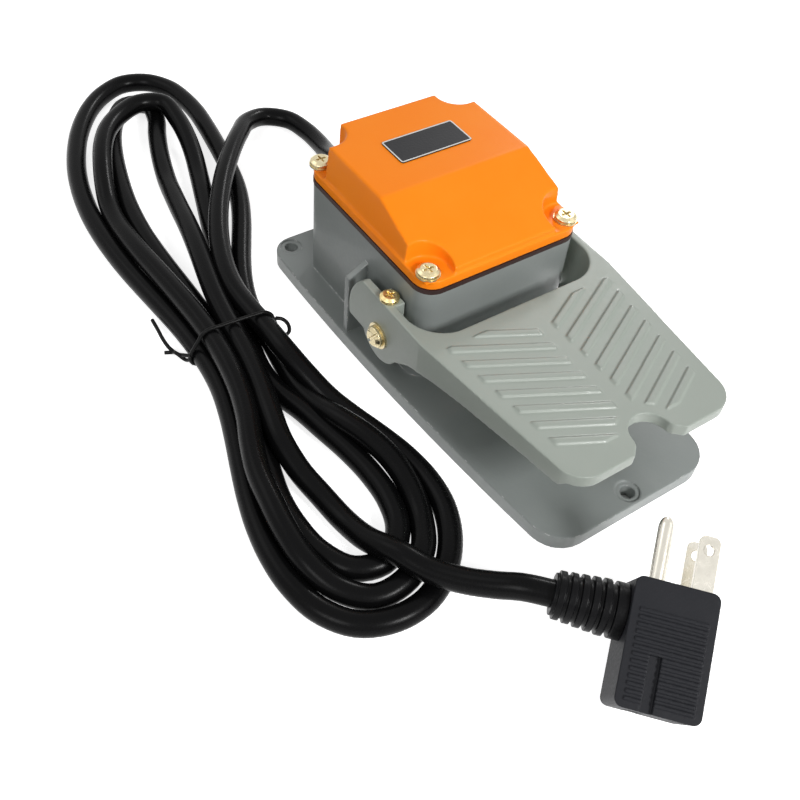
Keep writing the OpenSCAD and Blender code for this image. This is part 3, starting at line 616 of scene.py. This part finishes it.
def tube(name: str, line: np.ndarray, radius: float | np.ndarray, sides: int = 16) -> bpy.types.Object:
    """A round tube along a line, closed by a fan at each end.

    Point k of ring i is the line's point i, plus the radius times the cosine of k parts of a turn along the first
    vector across the line, and times its sine along the second.

    Args:
        name: name of the piece.
        line: N by 3 array of its centreline, which doesn't start straight up.
        radius: one radius, or one for each point.
        sides: corners of the section.

    Returns:
        The object.
    """
    count = len(line)
    a, b = carried_frames(line)
    angle = (np.arange(sides) * math.tau / sides)[None, :, None]
    ring = np.cos(angle) * a[:, None] + np.sin(angle) * b[:, None]
    wall = (line[:, None] + ring * np.broadcast_to(radius, count)[:, None, None]).reshape(-1, 3)
    k = np.arange(sides)
    beside, last = (k + 1) % sides, (count - 1) * sides
    start = np.column_stack([np.full(sides, count * sides), beside, k])
    end = np.column_stack([np.full(sides, count * sides + 1), last + k, last + beside])
    points = np.vstack([wall, line[:1], line[-1:]])
    obj = new_piece(name, points, quads(count, sides, (False, True)), start, end)
    smooth_by_angle(obj.data)
    return obj


def joined(name: str, pieces: Sequence[bpy.types.Object]) -> bpy.types.Object:
    """One object from several; the several are removed.

    Args:
        name: name of the new object and its mesh.
        pieces: objects at the origin, unturned and unscaled.

    Returns:
        The new object, linked to the scene.
    """
    work = bmesh.new()
    for piece in pieces:
        work.from_mesh(piece.data)
        bpy.data.meshes.remove(piece.data)
    mesh = bpy.data.meshes.new(name)
    work.to_mesh(mesh)
    work.free()
    smooth_by_angle(mesh)
    return linked(name, mesh)


def fix_normals(obj: bpy.types.Object) -> None:
    """Turns every face outwards.

    Args:
        obj: an object whose mesh is closed.
    """
    work = bmesh.new()
    work.from_mesh(obj.data)
    bmesh.ops.recalc_face_normals(work, faces=work.faces)
    work.to_mesh(obj.data)
    work.free()


def outline_of(points: np.ndarray) -> np.ndarray:
    """The convex outline of flat points, anticlockwise from the leftmost.

    It is turned round where its signed area, half the sum of x times the next y less y times the next x, is below
    nought.

    Args:
        points: N by 2 array.

    Returns:
        The corners of the outline.
    """
    corners = points[convex_hull_2d(points.tolist())]
    x, y = corners.T
    if x @ np.roll(y, -1) < y @ np.roll(x, -1):
        corners = corners[::-1]
    return np.roll(corners, -np.lexsort((corners[:, 1], corners[:, 0]))[0], axis=0)


def rounded_rectangle(width: float, depth: float, corner: float, steps: int = 8) -> np.ndarray:
    """Outline of a rectangle with round corners about the origin, anticlockwise.

    Corner k is an arc, from k to k + 1 quarter turns, about a point that lies in by the corner's radius.

    Args:
        width: size along x.
        depth: size along y.
        corner: radius of the corners.
        steps: points of each corner.

    Returns:
        The outline's points, N by 2.
    """
    signs = np.repeat([(1, 1), (-1, 1), (-1, -1), (1, -1)], steps, axis=0)
    angle = (np.linspace(0.0, math.pi / 2, steps) + np.arange(4)[:, None] * math.pi / 2).ravel()
    middle = np.array([width / 2 - corner, depth / 2 - corner])
    return signs * middle + corner * np.column_stack([np.cos(angle), np.sin(angle)])


def merged_mesh(node: str, name: str) -> bpy.types.Mesh:
    """A closed copy of a CAD node's mesh, without its split corners.

    Args:
        node: the CAD node.
        name: name of the copy.

    Returns:
        The copy.
    """
    mesh = bpy.data.objects[node].data.copy()
    mesh.name = name
    work = bmesh.new()
    work.from_mesh(mesh)
    bmesh.ops.remove_doubles(work, verts=work.verts, dist=WELD)
    work.to_mesh(mesh)
    work.free()
    for attribute in [a.name for a in mesh.attributes if a.name in ("custom_normal", "sharp_face", "sharp_edge")]:
        mesh.attributes.remove(mesh.attributes[attribute])
    return mesh


def baked(obj: bpy.types.Object, name: str) -> bpy.types.Mesh:
    """The mesh that an object's modifiers give, as a mesh of its own.

    Args:
        obj: the object.
        name: name of the new mesh.

    Returns:
        The new mesh.
    """
    bpy.context.view_layer.update()
    mesh = bpy.data.meshes.new_from_object(obj.evaluated_get(bpy.context.evaluated_depsgraph_get()))
    mesh.name = name
    return mesh


def report(piece: bpy.types.Object) -> None:
    """Logs a finished piece with its number of faces."""
    log.info("%s: %d faces", piece.name, len(piece.data.polygons))


# --------------------------------------------------------------------------------------------- castings

RELAX = 0.5  # how far each step of relaxing moves a point towards the middle of its neighbours


@dataclass(frozen=True)
class Casting:
    """A CAD node shown with the soft edges of a casting or moulding.

    The solid is resampled to an even skin of small faces, the skin is relaxed so that each edge and corner
    rounds off while flat faces stay where they are, and the faces that flat areas don't need are taken out. The
    edge radius is about the grain times the square root of the rounds.

    Attributes:
        node: the CAD node.
        finish: its finish.
        grain: size of the faces of its skin, in millimetres.
        rounds: steps of relaxing.
        keep: share of the faces kept at the end.
        slot: the record's slot, where it isn't the finish's own name; not used.
    """

    node: str
    finish: str
    grain: float
    rounds: int
    keep: float
    slot: str = ""

    def soften(self, copy: bpy.types.Object) -> None:
        """Rounds the edges of a copy, and leaves the result as its mesh.

        Args:
            copy: an object with a closed copy of the node's mesh.
        """
        skin = copy.modifiers.new("skin", "REMESH")
        skin.mode, skin.voxel_size, skin.use_smooth_shade = "VOXEL", self.grain * MM, True
        relax = copy.modifiers.new("relax", "SMOOTH")
        relax.factor, relax.iterations = RELAX, self.rounds
        thin = copy.modifiers.new("thin", "DECIMATE")
        thin.ratio = self.keep
        mesh = baked(copy, copy.name)
        copy.modifiers.clear()
        copy.data = mesh

    def build(self, shop: MaterialShop) -> bpy.types.Object:
        """Makes the copy, which stands for the node and rides on its body.

        Args:
            shop: where the material comes from.

        Returns:
            The copy.
        """
        name = f"{self.node}_cast"
        copy = linked(name, merged_mesh(self.node, name))
        self.soften(copy)
        smooth_by_angle(copy.data)
        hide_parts(self.node)
        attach(copy, bpy.data.objects[self.node]["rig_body"])
        shop.paint(copy, self.finish)
        report(copy)
        return copy


CASTINGS = (
    Casting("cover", "cover_orange", 0.4, 11, 0.4),
    Casting("pedal", "pedal_paint", 0.36, 5, 0.4),
    Casting("cover_screws", "zinc_screw", 0.15, 2, 0.5),
    Casting("pivot_screws", "zinc_screw", 0.15, 2, 0.5),
    Casting("arm_set_screws", "brass", 0.15, 2, 0.5),
    Casting("gland_nut", "gland_nylon", 0.25, 3, 0.5),
    Casting("plug_body", "plug_pvc", 0.2, 2, 0.35),
    Casting("plug_strain_relief", "relief_pvc", 0.18, 5, 0.7, "plug_pvc"),
)


# --------------------------------------------------------------------------------------------- the cord

# The points that the cord passes through, in millimetres: out of the gland, three times round the hank, to the
# plug. They are the route of the CAD part.
CORD_ROUTE_MM = (
    (0, 61, 26), (0, 74, 26), (0, 87, 26), (0.9, 99.4, 23.9), (3.2, 110.5, 18.8), (6.2, 121, 12.9),
    (9.4, 132.2, 8.2), (11.8, 144.1, 5.7), (12.3, 156.5, 4.5), (9.3, 168.5, 4.5), (-0.6, 175.1, 5.4),
    (-11.7, 171.1, 7.8), (-19.9, 162, 10.2), (-27.8, 152.5, 11.9), (-35.5, 142.7, 12.8), (-42.9, 132.7, 13.2),
    (-49.8, 122.3, 13.2), (-56.2, 111.6, 13.1), (-61.9, 100.5, 12.9), (-66.7, 89, 12.8), (-70.5, 77.2, 12.9),
    (-72.7, 64.9, 12.9), (-72.8, 52.4, 12.8), (-72.1, 40, 12.8), (-71.9, 27.5, 13), (-69.9, 15.7, 9.8),
    (-66.7, 4.4, 5.7), (-63.1, -7.4, 4.4), (-59.7, -19.4, 4.4), (-57.1, -31.5, 4.5), (-56.2, -44, 4.5),
    (-58, -56.2, 4.5), (-63.4, -67.4, 4.5), (-71.9, -76.5, 4.5), (-82.8, -82.3, 4.5), (-95.2, -82.8, 4.5),
    (-106.5, -77.9, 4.5), (-113.8, -67.9, 4.5), (-116.7, -55.8, 4.5), (-116.8, -43.4, 4.5),
    (-115.1, -31, 4.5), (-112.1, -19, 4.5), (-108.3, -7.1, 4.5), (-104.3, 4.7, 4.5), (-100.6, 16.6, 4.5),
    (-97.7, 28.8, 4.5), (-96.3, 41.1, 4.5), (-96.1, 53.6, 4.5), (-96.7, 66, 4.5), (-97.9, 78.5, 4.5),
    (-99.2, 90.9, 4.5), (-100.4, 103.3, 4.5), (-101.1, 115.7, 4.5), (-101.2, 128.2, 4.5),
    (-100.6, 140.6, 4.5), (-99.1, 153, 4.5), (-96.7, 165.2, 4.5), (-93.3, 177.2, 4.5), (-88.8, 188.9, 4.5),
    (-83.4, 200.1, 4.5), (-76.8, 210.7, 4.5), (-69, 220.4, 4.5), (-59.5, 228.3, 4.5), (-47.9, 232.8, 4.5),
    (-36.4, 229, 4.5), (-29.2, 219, 4.5), (-26.8, 206.8, 4.5), (-26.5, 194.3, 4.5), (-27.8, 181.9, 4.5),
    (-29.6, 169.6, 4.5), (-31.6, 157.3, 4.5), (-34, 145, 4.5), (-37.1, 133, 4.5), (-41.4, 121.3, 4.5),
    (-46.7, 110, 4.5), (-52.6, 99, 4.5), (-58.5, 88, 4.5), (-63.8, 76.7, 4.5), (-67.8, 65, 4.5),
    (-69.9, 52.7, 4.5), (-70.5, 40.2, 4.5), (-72.1, 27.9, 4.5), (-73.2, 15.5, 4.5), (-72.5, 3.2, 6.2),
    (-70, -8.6, 9.3), (-66.6, -20.6, 10.2), (-64.1, -32.7, 9), (-64.1, -44.8, 6.1), (-67.5, -56.5, 4.4),
    (-74.2, -66.8, 5.3), (-84.7, -73.2, 5.2), (-96.8, -72.8, 4.4), (-105.7, -64.5, 5.9), (-109.8, -53.2, 8.8),
    (-110.2, -40.9, 10.8), (-108.9, -28.6, 11.8), (-106.9, -16.3, 11.8), (-103, -4.4, 11.8),
    (-98.4, 7.1, 11.9), (-95, 19.1, 12), (-92.9, 31.4, 12), (-91.7, 43.8, 11.9), (-91.4, 56.3, 11.7),
    (-91.7, 68.7, 11.4), (-92.3, 81.2, 10.9), (-93, 93.6, 10.3), (-93.7, 106, 9.5), (-93.9, 118.5, 8.4),
    (-93.6, 130.9, 7.3), (-92.1, 143.2, 7.5), (-88.8, 155, 9.9), (-84.5, 166.5, 12), (-79.4, 177.8, 12.9),
    (-72.7, 188.3, 12.9), (-63.5, 196.7, 12.6), (-52.1, 201.4, 12.7), (-41.4, 197.3, 12), (-40.2, 185.1, 10),
    (-41.4, 172.9, 7.9), (-44, 160.9, 6), (-47.6, 149, 4.5), (-51.5, 137.1, 4.5), (-55.4, 125.3, 4.5),
    (-59.3, 113.5, 4.5), (-63, 101.6, 4.5), (-66.9, 89.7, 4.5), (-71.5, 78.2, 4.5), (-76.2, 66.6, 4.5),
    (-78.3, 54.3, 4.5), (-79.1, 41.9, 4.5), (-81.1, 29.6, 4.5), (-80.9, 17.3, 4.5), (-77.6, 5.3, 4.5),
    (-75.2, -7, 4.5), (-72.9, -19.2, 4.5), (-71.7, -31.6, 4.5), (-72.4, -44.1, 4.5), (-76.5, -55.8, 4.5),
    (-85.9, -63.6, 4.5), (-97.2, -60.6, 4.5), (-103.1, -49.8, 4.5), (-104.6, -37.5, 4.5),
    (-103.9, -25.1, 4.5), (-101, -13, 4.5), (-97, -1.1, 4.5), (-93.3, 10.8, 4.5), (-90.4, 22.9, 4.5),
    (-88.3, 35.2, 4.5), (-87, 47.6, 4.5), (-86.4, 60, 4.5), (-86.3, 72.5, 4.5), (-86.4, 85, 4.5),
    (-86.6, 97.4, 4.5), (-86.6, 109.9, 4.5), (-86.2, 122.4, 4.5), (-85, 134.8, 4.5), (-83.1, 147.1, 4.5),
    (-80.4, 159.3, 4.5), (-77.2, 171.3, 4.5), (-73.5, 183.2, 4.5), (-69, 194.8, 4.5), (-62.9, 205.7, 4.5),
    (-54.1, 214.3, 4.5), (-44.3, 210.2, 4.5), (-45.7, 198.1, 4.5), (-50.5, 186.6, 4.5), (-54.9, 174.9, 4.5),
    (-58.7, 163, 4.5), (-61.9, 151, 4.5), (-64.6, 138.9, 6.1), (-67.1, 126.8, 7.7), (-69.5, 114.7, 9.5),
    (-72.1, 102.6, 10.9), (-74.9, 90.5, 11.7), (-77.8, 78.3, 12), (-80.4, 66.1, 12.1), (-82.3, 53.8, 12),
    (-83.7, 41.4, 12), (-85.3, 29.1, 12), (-87.7, 16.8, 12.1), (-90.8, 4.8, 11.9), (-93.2, -7.3, 10.3),
    (-92.9, -19.3, 6.7), (-91, -31.3, 4.5), (-89.7, -43.7, 4.5), (-88.5, -55.5, 8), (-85, -66.5, 12.5),
    (-80.5, -77.5, 13.5), (-75, -87, 16), (-69, -95.2, 19.5), (-63.5, -101.4, 22.3), (-57.6, -107.8, 22.7),
    (-53.7, -112, 22.5),
)


@dataclass
class MainsCord:
    """The mains cord: one tube from inside the gland, three times round the hank, to the plug.

    Attributes:
        diameter: its outer diameter, metres.
        sides: corners of its section.
        step: distance between its rings, metres.
        on_it: the pieces that it carries; not used.
    """

    diameter: float = 8.5 * MM
    sides: int = 20
    step: float = 2.5 * MM
    on_it: tuple[str, ...] = (
        "plug_body_cast",
        "plug_strain_relief_cast",
        "plug_blades_stamped",
        "plug_earth_pin_turned",
        "twist_tie_wire",
    )

    def line(self) -> np.ndarray:
        """Its centreline, in metres."""
        return catmull(np.array(CORD_ROUTE_MM, float) * MM, self.step)

    def build(self, shop: MaterialShop) -> bpy.types.Object:
        """Args:
            shop: where the material comes from.

        Returns:
            The cord.
        """
        line = self.line()
        cord = tube("mains_cord", line, self.diameter / 2, self.sides)
        shop.paint(cord, "cord_pvc")
        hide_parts("cord_lead", "cord_hank", "cord_tail")
        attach(cord, "body")
        report(cord)
        return cord


@dataclass
class TwistTie:
    """The thin wire tie round the waist of the hank: a wrap, a small loop, and two twisted ends.

    Attributes:
        cord: the cord that it holds.
        place: y of the wrap, metres.
        lean: how far the wrap leans, as y over x.
        wire: radius of the wire, metres.
        west_of: strands beyond this x are held, metres.
        sides: corners of the wire's section.
        bedding: how far the wire's middle lies off a strand, as a share of its radius.
        steps: distance between the rings of the wrap and of the ends, metres.
        loop: points of the loop, millimetres.
        ends: points of the two ends, millimetres.
    """

    cord: MainsCord
    place: float = 46.0 * MM
    lean: float = -0.12
    wire: float = 0.75 * MM
    west_of: float = -60.0 * MM
    sides: int = 10
    bedding: float = 0.8
    steps: Pair = (1.5 * MM, 0.8 * MM)
    loop: tuple[Triple, ...] = (
        (-65.5, 46, 10.5),
        (-63, 45, 9.5),
        (-61.9, 42.8, 8),
        (-62.8, 40.6, 6.5),
        (-65.6, 40, 5.5),
    )
    ends: tuple[tuple[Triple, ...], ...] = (
        (
            (-100.6, 47.5, 6.5),
            (-102.2, 51, 4.5),
            (-103.2, 54.5, 2.6),
            (-104.6, 58.6, 2.8),
            (-104.8, 64, 3),
            (-104.2, 69.5, 2.6),
            (-103.9, 75.5, 3),
        ),
        ((-100.8, 48, 4), (-102, 50.5, 2.4), (-104, 53.5, 4.2), (-104.2, 57, 1.6), (-107, 58.2, 1.8)),
    )

    def strands(self) -> np.ndarray:
        """Where the strands of the cord pass the tie.

        Returns:
            The x and z of each strand, N by 2.
        """
        line = self.cord.line()
        side = line[:, 1] - self.place
        passes = np.nonzero((side[:-1] * side[1:] < 0) & (line[:-1, 0] < self.west_of))[0]
        return line[passes][:, [0, 2]]

    def wrap(self) -> np.ndarray:
        """The line of the wrap: the outline of a disc round each strand, kept off the floor and leant over.

        Returns:
            Its points, from the outermost strand round to the same again.
        """
        turn = np.linspace(0.0, math.tau, CURVE_STEPS, endpoint=False)
        reach = self.cord.diameter / 2 + self.wire * self.bedding
        discs = self.strands()[:, None, :] + reach * np.stack([np.cos(turn), np.sin(turn)], axis=1)[None]
        x, z = outline_of(discs.reshape(-1, 2)).T
        y = self.place + self.lean * (x - x.mean())
        return closed(np.column_stack([x, y, np.maximum(z, self.wire)]))

    def build(self, shop: MaterialShop) -> bpy.types.Object:
        """Makes the tie in place of the CAD part's plain one.

        Args:
            shop: where the material comes from.

        Returns:
            The tie.
        """
        round_it, twisted = self.steps
        pieces = [tube("wrap", catmull(self.wrap(), round_it), self.wire, self.sides)]
        for run in (self.loop, *self.ends):
            pieces.append(tube("run", catmull(np.array(run) * MM, twisted), self.wire, self.sides))
        tie = joined("twist_tie_wire", pieces)
        shop.paint(tie, "tie_pvc")
        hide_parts("twist_tie")
        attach(tie, "body")
        report(tie)
        return tie


# --------------------------------------------------------------------------- the plug's pins and the plate


@dataclass(frozen=True)
class PlugPins:
    """The plug's two flat blades and its round earth pin, in the plug's own frame: +Y out of its face.

    Attributes:
        place: where the plug's face carries the middle of the pins, metres.
        turns: yaw, pitch and roll of the plug, degrees.
        root: how deep the blades and the pin start behind the plug's face.
        length: length of a blade from its root.
        width: width of a blade.
        half_thick: half its thickness.
        corner: radius of its corners.
        bevel: width of its bevelled edges.
        blade_x: x of the middle of the blades.
        spacing: distance between the blades.
        hole: radius of the hole near a blade's tip.
        hole_y: y of that hole.
        outline: points round a blade.
        pin_x: x of the earth pin.
        pin_radius: its radius.
        pin_straight: y where its round end starts.
        pin_end: y of its tip.
        pin_sides: corners of its section.
        dome: share of the round end that is made, before a flat of next to nothing, and its rings.
        sharp: degrees above which an edge of these pieces stays sharp.
    """

    place: Triple = (-27.2 * MM, -126.2 * MM, 25.542 * MM)
    turns: Triple = (42.0, 25.0, 3.0)
    root: float = 7.9 * MM
    length: float = 24.6 * MM
    width: float = 6.34 * MM
    half_thick: float = 0.76 * MM
    corner: float = 2.0 * MM
    bevel: float = 0.18 * MM
    blade_x: float = 7.4 * MM
    spacing: float = 12.7 * MM
    hole: float = 1.6 * MM
    hole_y: float = 12.5 * MM
    outline: int = 256
    pin_x: float = -4.5 * MM
    pin_radius: float = 2.38 * MM
    pin_straight: float = 17.4 * MM
    pin_end: float = 21.0 * MM
    pin_sides: int = 40
    dome: tuple[float, int] = (0.995, 14)
    sharp: float = 30.0

    def placed(self, points: np.ndarray) -> np.ndarray:
        """Turns points of the plug's own frame by roll, pitch and yaw, and moves them to its place.

        Args:
            points: N by 3 array in the plug's frame.

        Returns:
            The same points in the part's frame.
        """
        yaw, pitch, roll = (math.radians(a) for a in self.turns)
        level = Matrix.Rotation(yaw - math.pi / 2, 3, "Z")
        turn = level @ Matrix.Rotation(pitch, 3, "X") @ Matrix.Rotation(roll, 3, "Y")
        return points @ np.array(turn).T + np.array(self.place)

    def blade(self, z: float) -> bpy.types.Object:
        """One blade: eight matched rings, from the outline over the face to the hole and back.

        A ring's point is the outline's point, the outline's point drawn in by the bevel, or the point of the
        hole that lies in the same direction from the hole's middle.

        Args:
            z: height of the blade's middle in the plug's frame.

        Returns:
            The blade.
        """
        middle = np.array([self.blade_x, self.length / 2 - self.root])
        edge = 2 * self.bevel
        corners = rounded_rectangle(self.width, self.length, self.corner)
        inner = rounded_rectangle(self.width - edge, self.length - edge, self.corner - self.bevel)
        stops = distances(closed(corners))
        at = np.linspace(0.0, stops[-1], self.outline, endpoint=False)
        full, drawn = (read_off(closed(ring), stops, at) + middle for ring in (corners, inner))
        centre = np.array([self.blade_x, self.hole_y])
        away = full - centre
        unit = away / np.linalg.norm(away, axis=1, keepdims=True)
        rim, lip = centre + unit * self.hole, centre + unit * (self.hole + self.bevel)
        low, high = self.half_thick - self.bevel, self.half_thick
        upper = ((full, -low), (full, low), (drawn, high), (lip, high))
        lower = ((rim, low), (rim, -low), (lip, -high), (drawn, -high))
        rings = upper + lower
        points = np.vstack([raised(flat, z + lift) for flat, lift in rings])
        return new_piece("blade", self.placed(points), quads(len(rings), self.outline, (True, True)))

    def earth_pin(self) -> bpy.types.Object:
        """The earth pin: a straight rod whose end, in section, is half an ellipse.

        Returns:
            The pin.
        """
        bend = np.linspace(0.0, *self.dome) * math.pi / 2
        straight = [-self.root, 0.0, self.pin_straight / 2]
        y = np.append(straight, self.pin_straight + (self.pin_end - self.pin_straight) * np.sin(bend))
        radius = self.pin_radius * np.append(np.ones(len(straight)), np.cos(bend))
        line = self.placed(np.column_stack([np.full(len(y), self.pin_x), y, np.zeros(len(y))]))
        return tube("plug_earth_pin_turned", line, radius, self.pin_sides)

    def build(self, shop: MaterialShop) -> None:
        """Makes both blades as one piece, and the pin as another.

        Args:
            shop: where the material comes from.
        """
        blades = joined("plug_blades_stamped", [self.blade(side * self.spacing / 2) for side in (-1, 1)])
        for piece, node in ((blades, "plug_blades"), (self.earth_pin(), "plug_ground_pin")):
            fix_normals(piece)
            smooth_by_angle(piece.data, self.sharp)
            shop.paint(piece, "plug_metal")
            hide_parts(node)
            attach(piece, "body")
            report(piece)


@dataclass(frozen=True)
class PlateEdge:
    """The light edge round the dark nameplate, which is left blank.

    Attributes:
        centre: x and y of its middle, metres.
        size: its outer width and depth, metres.
        width: width of the edge, metres.
        corner: radius of its outer corners, metres.
        low: height of its underside, inside the plate, metres.
        high: height of its top, metres.
    """

    centre: Pair = (0.5 * MM, 48.0 * MM)
    size: Pair = (31.5 * MM, 14.0 * MM)
    width: float = 0.55 * MM
    corner: float = 1.0 * MM
    low: float = 67.9 * MM
    high: float = 68.03 * MM

    def build(self, shop: MaterialShop) -> bpy.types.Object:
        """Makes the edge as a flat closed ring: its outline and the same drawn in by its width, low and high.

        Args:
            shop: where the material comes from.

        Returns:
            The edge.
        """
        inset = (side - 2 * self.width for side in self.size)
        outer = rounded_rectangle(*self.size, self.corner) + self.centre
        inner = rounded_rectangle(*inset, self.corner - self.width) + self.centre
        rings = ((outer, self.low), (outer, self.high), (inner, self.high), (inner, self.low))
        points = np.vstack([raised(flat, z) for flat, z in rings])
        edge = new_piece("nameplate_edge", points, quads(len(rings), len(outer), (True, True)))
        shop.paint(edge, "plate_edge")
        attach(edge, "body")
        report(edge)
        return edge


# ------------------------------------------------------------------------------------- camera and light


@dataclass(frozen=True)
class View:
    """The camera: where it looks from.

    Attributes:
        azimuth: turn about the vertical from looking along +Y, degrees.
        elevation: height of the view over the floor, degrees.
        roll: turn about the line of sight, degrees.
        distance: from the target, metres.
        target: the point that it looks at, metres.
        lens: focal length, millimetres.
        sensor: width of the sensor, millimetres.
        clip: nearest and furthest distance that it sees, metres.
    """

    azimuth: float = -38.47
    elevation: float = 48.56
    roll: float = 6.17
    distance: float = 0.37085
    target: Triple = (-0.04168, -0.00566, 0.0)
    lens: float = 44.53
    sensor: float = 36.0
    clip: Pair = (0.01, 20.0)

    def build(self) -> bpy.types.Object:
        """Makes the scene's camera: it looks back along its own z from the target.

        Returns:
            The camera.
        """
        a, e, r = (math.radians(v) for v in (self.azimuth, self.elevation, self.roll))
        back = Vector((math.sin(a) * math.cos(e), -math.cos(a) * math.cos(e), math.sin(e)))
        right = Vector((math.cos(a), math.sin(a), 0.0))
        up = back.cross(right)
        right, up = math.cos(r) * right + math.sin(r) * up, -math.sin(r) * right + math.cos(r) * up
        data = bpy.data.cameras.new("camera")
        data.lens, data.sensor_width = self.lens, self.sensor
        data.clip_start, data.clip_end = self.clip
        camera = linked("camera", data)
        axes = Matrix((right, up, back)).transposed().to_4x4()
        axes.translation = Vector(self.target) + back * self.distance
        camera.matrix_world = axes
        bpy.context.scene.camera = camera
        return camera


@dataclass(frozen=True)
class SoftBox:
    """One square area light.

    Attributes:
        name: its name.
        place: where it stands, metres.
        size: its width, metres.
        power: its power, watts.
        aim: the point that it faces, metres.
    """

    name: str
    place: Triple
    size: float
    power: float
    aim: Triple = (-0.03, 0.02, 0.02)

    def build(self) -> None:
        """Makes the light, turned to its aim."""
        data = bpy.data.lights.new(self.name, "AREA")
        data.shape, data.size, data.energy = "SQUARE", self.size, self.power
        light = linked(self.name, data)
        light.location = self.place
        light.rotation_mode = "QUATERNION"
        light.rotation_quaternion = (Vector(self.aim) - Vector(self.place)).to_track_quat("-Z", "Y")


LIGHTS = (
    SoftBox("key", (0.68, 0.5, 0.52), 0.12, 1.8),
    SoftBox("fill", (-0.7, -0.3, 0.6), 0.32, 2.1),
    SoftBox("front", (0.1, -0.95, 0.7), 0.27, 10.5),
    SoftBox("side", (0.75, -0.55, 0.75), 0.6, 0.8),
    SoftBox("rear", (-0.5, 0.6, 0.8), 0.5, 1.0),
)


@dataclass(frozen=True)
class Studio:
    """Floor, surroundings and lights.

    Attributes:
        sky: grey of the surroundings, as the surfaces of the switch see them.
        tones: the two greys of the floor.
        mottle: scale of their mix, per metre.
        roughness: roughness of the floor.
        specular: strength of its plain reflection.
        reach: half its width, metres.
        cells: faces along its side.
        level: its height, a hair under the cord, metres.
        glow: how much it adds to what is seen of it, near the switch and far off.
        fade: distances between which the glow grows, metres.
        shade: half width and half length of the area under the base that doesn't glow, metres.
    """

    sky: float = 0.22
    tones: Pair = (0.86, 0.88)
    mottle: float = 6.0
    roughness: float = 0.75
    specular: float = 0.1
    reach: float = 3.0
    cells: int = 12
    level: float = -0.0002
    glow: Pair = (0.78, 1.3)
    fade: Pair = (0.4, 1.4)
    shade: Pair = (0.0345, 0.086)

    def seen(self, graph: Graph) -> bpy.types.NodeSocket:
        """Tells where the background is looked at directly, in a reflection or through glass.

        Args:
            graph: the tree that asks.

        Returns:
            One there, else nought.
        """
        path = graph.add("ShaderNodeLightPath")
        mirrored = graph.math("ADD", path.outputs["Is Glossy Ray"], path.outputs["Is Transmission Ray"])
        return graph.math("ADD", path.outputs["Is Camera Ray"], mirrored, clamp=True)

    def surroundings(self) -> None:
        """A grey world, which is white where it is seen."""
        world = bpy.data.worlds.new("studio")
        bpy.context.scene.world = world
        world.use_nodes = True
        graph = Graph(world.node_tree)
        shell = world.node_tree.nodes["Background"]
        graph.feed(shell.inputs["Color"], graph.mix(self.seen(graph), rgba((self.sky,) * 3), WHITE))

    def floor_finish(self) -> bpy.types.Material:
        """The floor's material: pale grey, with a glow that hides it against the white but not under the base.

        Returns:
            The material.
        """
        material = bpy.data.materials.new("floor")
        material.use_nodes = True
        graph = Graph(material.node_tree)
        shader = material.node_tree.nodes["Principled BSDF"]
        place = graph.add("ShaderNodeTexCoord").outputs["Object"]
        noise = graph.add("ShaderNodeTexNoise", {"Vector": place, "Scale": self.mottle})
        mottled = graph.mix(noise.outputs[0], *(rgba((tone,) * 3) for tone in self.tones))
        graph.feed(shader.inputs["Base Color"], mottled)
        graph.feed(shader.inputs["Roughness"], self.roughness)
        graph.feed(shader.inputs["Specular IOR Level"], self.specular)
        away = graph.vector_math("LENGTH", place).outputs["Value"]
        flat = graph.vector_math("ABSOLUTE", place).outputs["Vector"]
        apart = graph.add("ShaderNodeSeparateXYZ", {0: flat}).outputs
        clear = graph.math("MAXIMUM", *(graph.math("GREATER_THAN", apart[a], self.shade[a]) for a in (0, 1)))
        glow = graph.math("MULTIPLY", graph.ramp(away, *self.fade, to=self.glow), clear)
        graph.feed(shader.inputs["Emission Color"], WHITE)
        graph.feed(shader.inputs["Emission Strength"], graph.math("MULTIPLY", self.seen(graph), glow))
        return material

    def build(self) -> None:
        """Makes the studio: soft lights, and a pale flat floor that melts into white."""
        self.surroundings()
        for light in LIGHTS:
            light.build()
        axis = np.linspace(-self.reach, self.reach, self.cells + 1)
        x, y = np.meshgrid(axis, axis)
        points = raised(np.column_stack([x.ravel(), y.ravel()]), self.level)
        floor = new_piece("floor", points, quads(len(axis), len(axis), (False, False)))
        floor.data.materials.append(self.floor_finish())


# ------------------------------------------------------------------------------------------- the object

NODE_FINISH: dict[str, str] = {
    "base_housing": "housing_paint",
    "cover_gasket": "gasket_rubber",
    "cover_washers": "zinc_screw",
    "nameplate": "plate_dark",
    "pivot_shaft": "shaft_steel",
    "shaft_bush_left": "brass",
    "shaft_bush_right": "brass",
    "pivot_washers": "zinc_screw",
    "cam_lever": "lever_metal",
    "lever_screw": "black_oxide",
    "return_spring": "spring_steel",
    "switch_bracket": "sheet_steel",
    "bracket_screws": "zinc_screw",
    "switch_body": "switch_case",
    "switch_plunger": "plunger_red",
    "switch_terminals": "brass",
    "switch_screws": "zinc_screw",
    "earth_screw": "earth_green",
    "gland_seal": "seal_rubber",
    "gland_body": "gland_nylon",
    "gland_locknut": "gland_nylon",
    "wire_line": "wire_brown",
    "wire_load": "wire_black",
    "wire_earth": "wire_green",
}


def main() -> None:
    """Loads the frame and builds everything round it."""
    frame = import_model()
    shop = MaterialShop()
    View().build()
    for part in CASTINGS:
        part.build(shop)
    cord = MainsCord()
    PlugPins().build(shop)
    TwistTie(cord).build(shop)
    cord.build(shop)
    PlateEdge().build(shop)
    Studio().build()
    for node, finish in NODE_FINISH.items():
        shop.paint(frame["nodes"][node], finish)
    bpy.context.scene.view_settings.view_transform = "Standard"


if __name__ == "__main__":
    main()
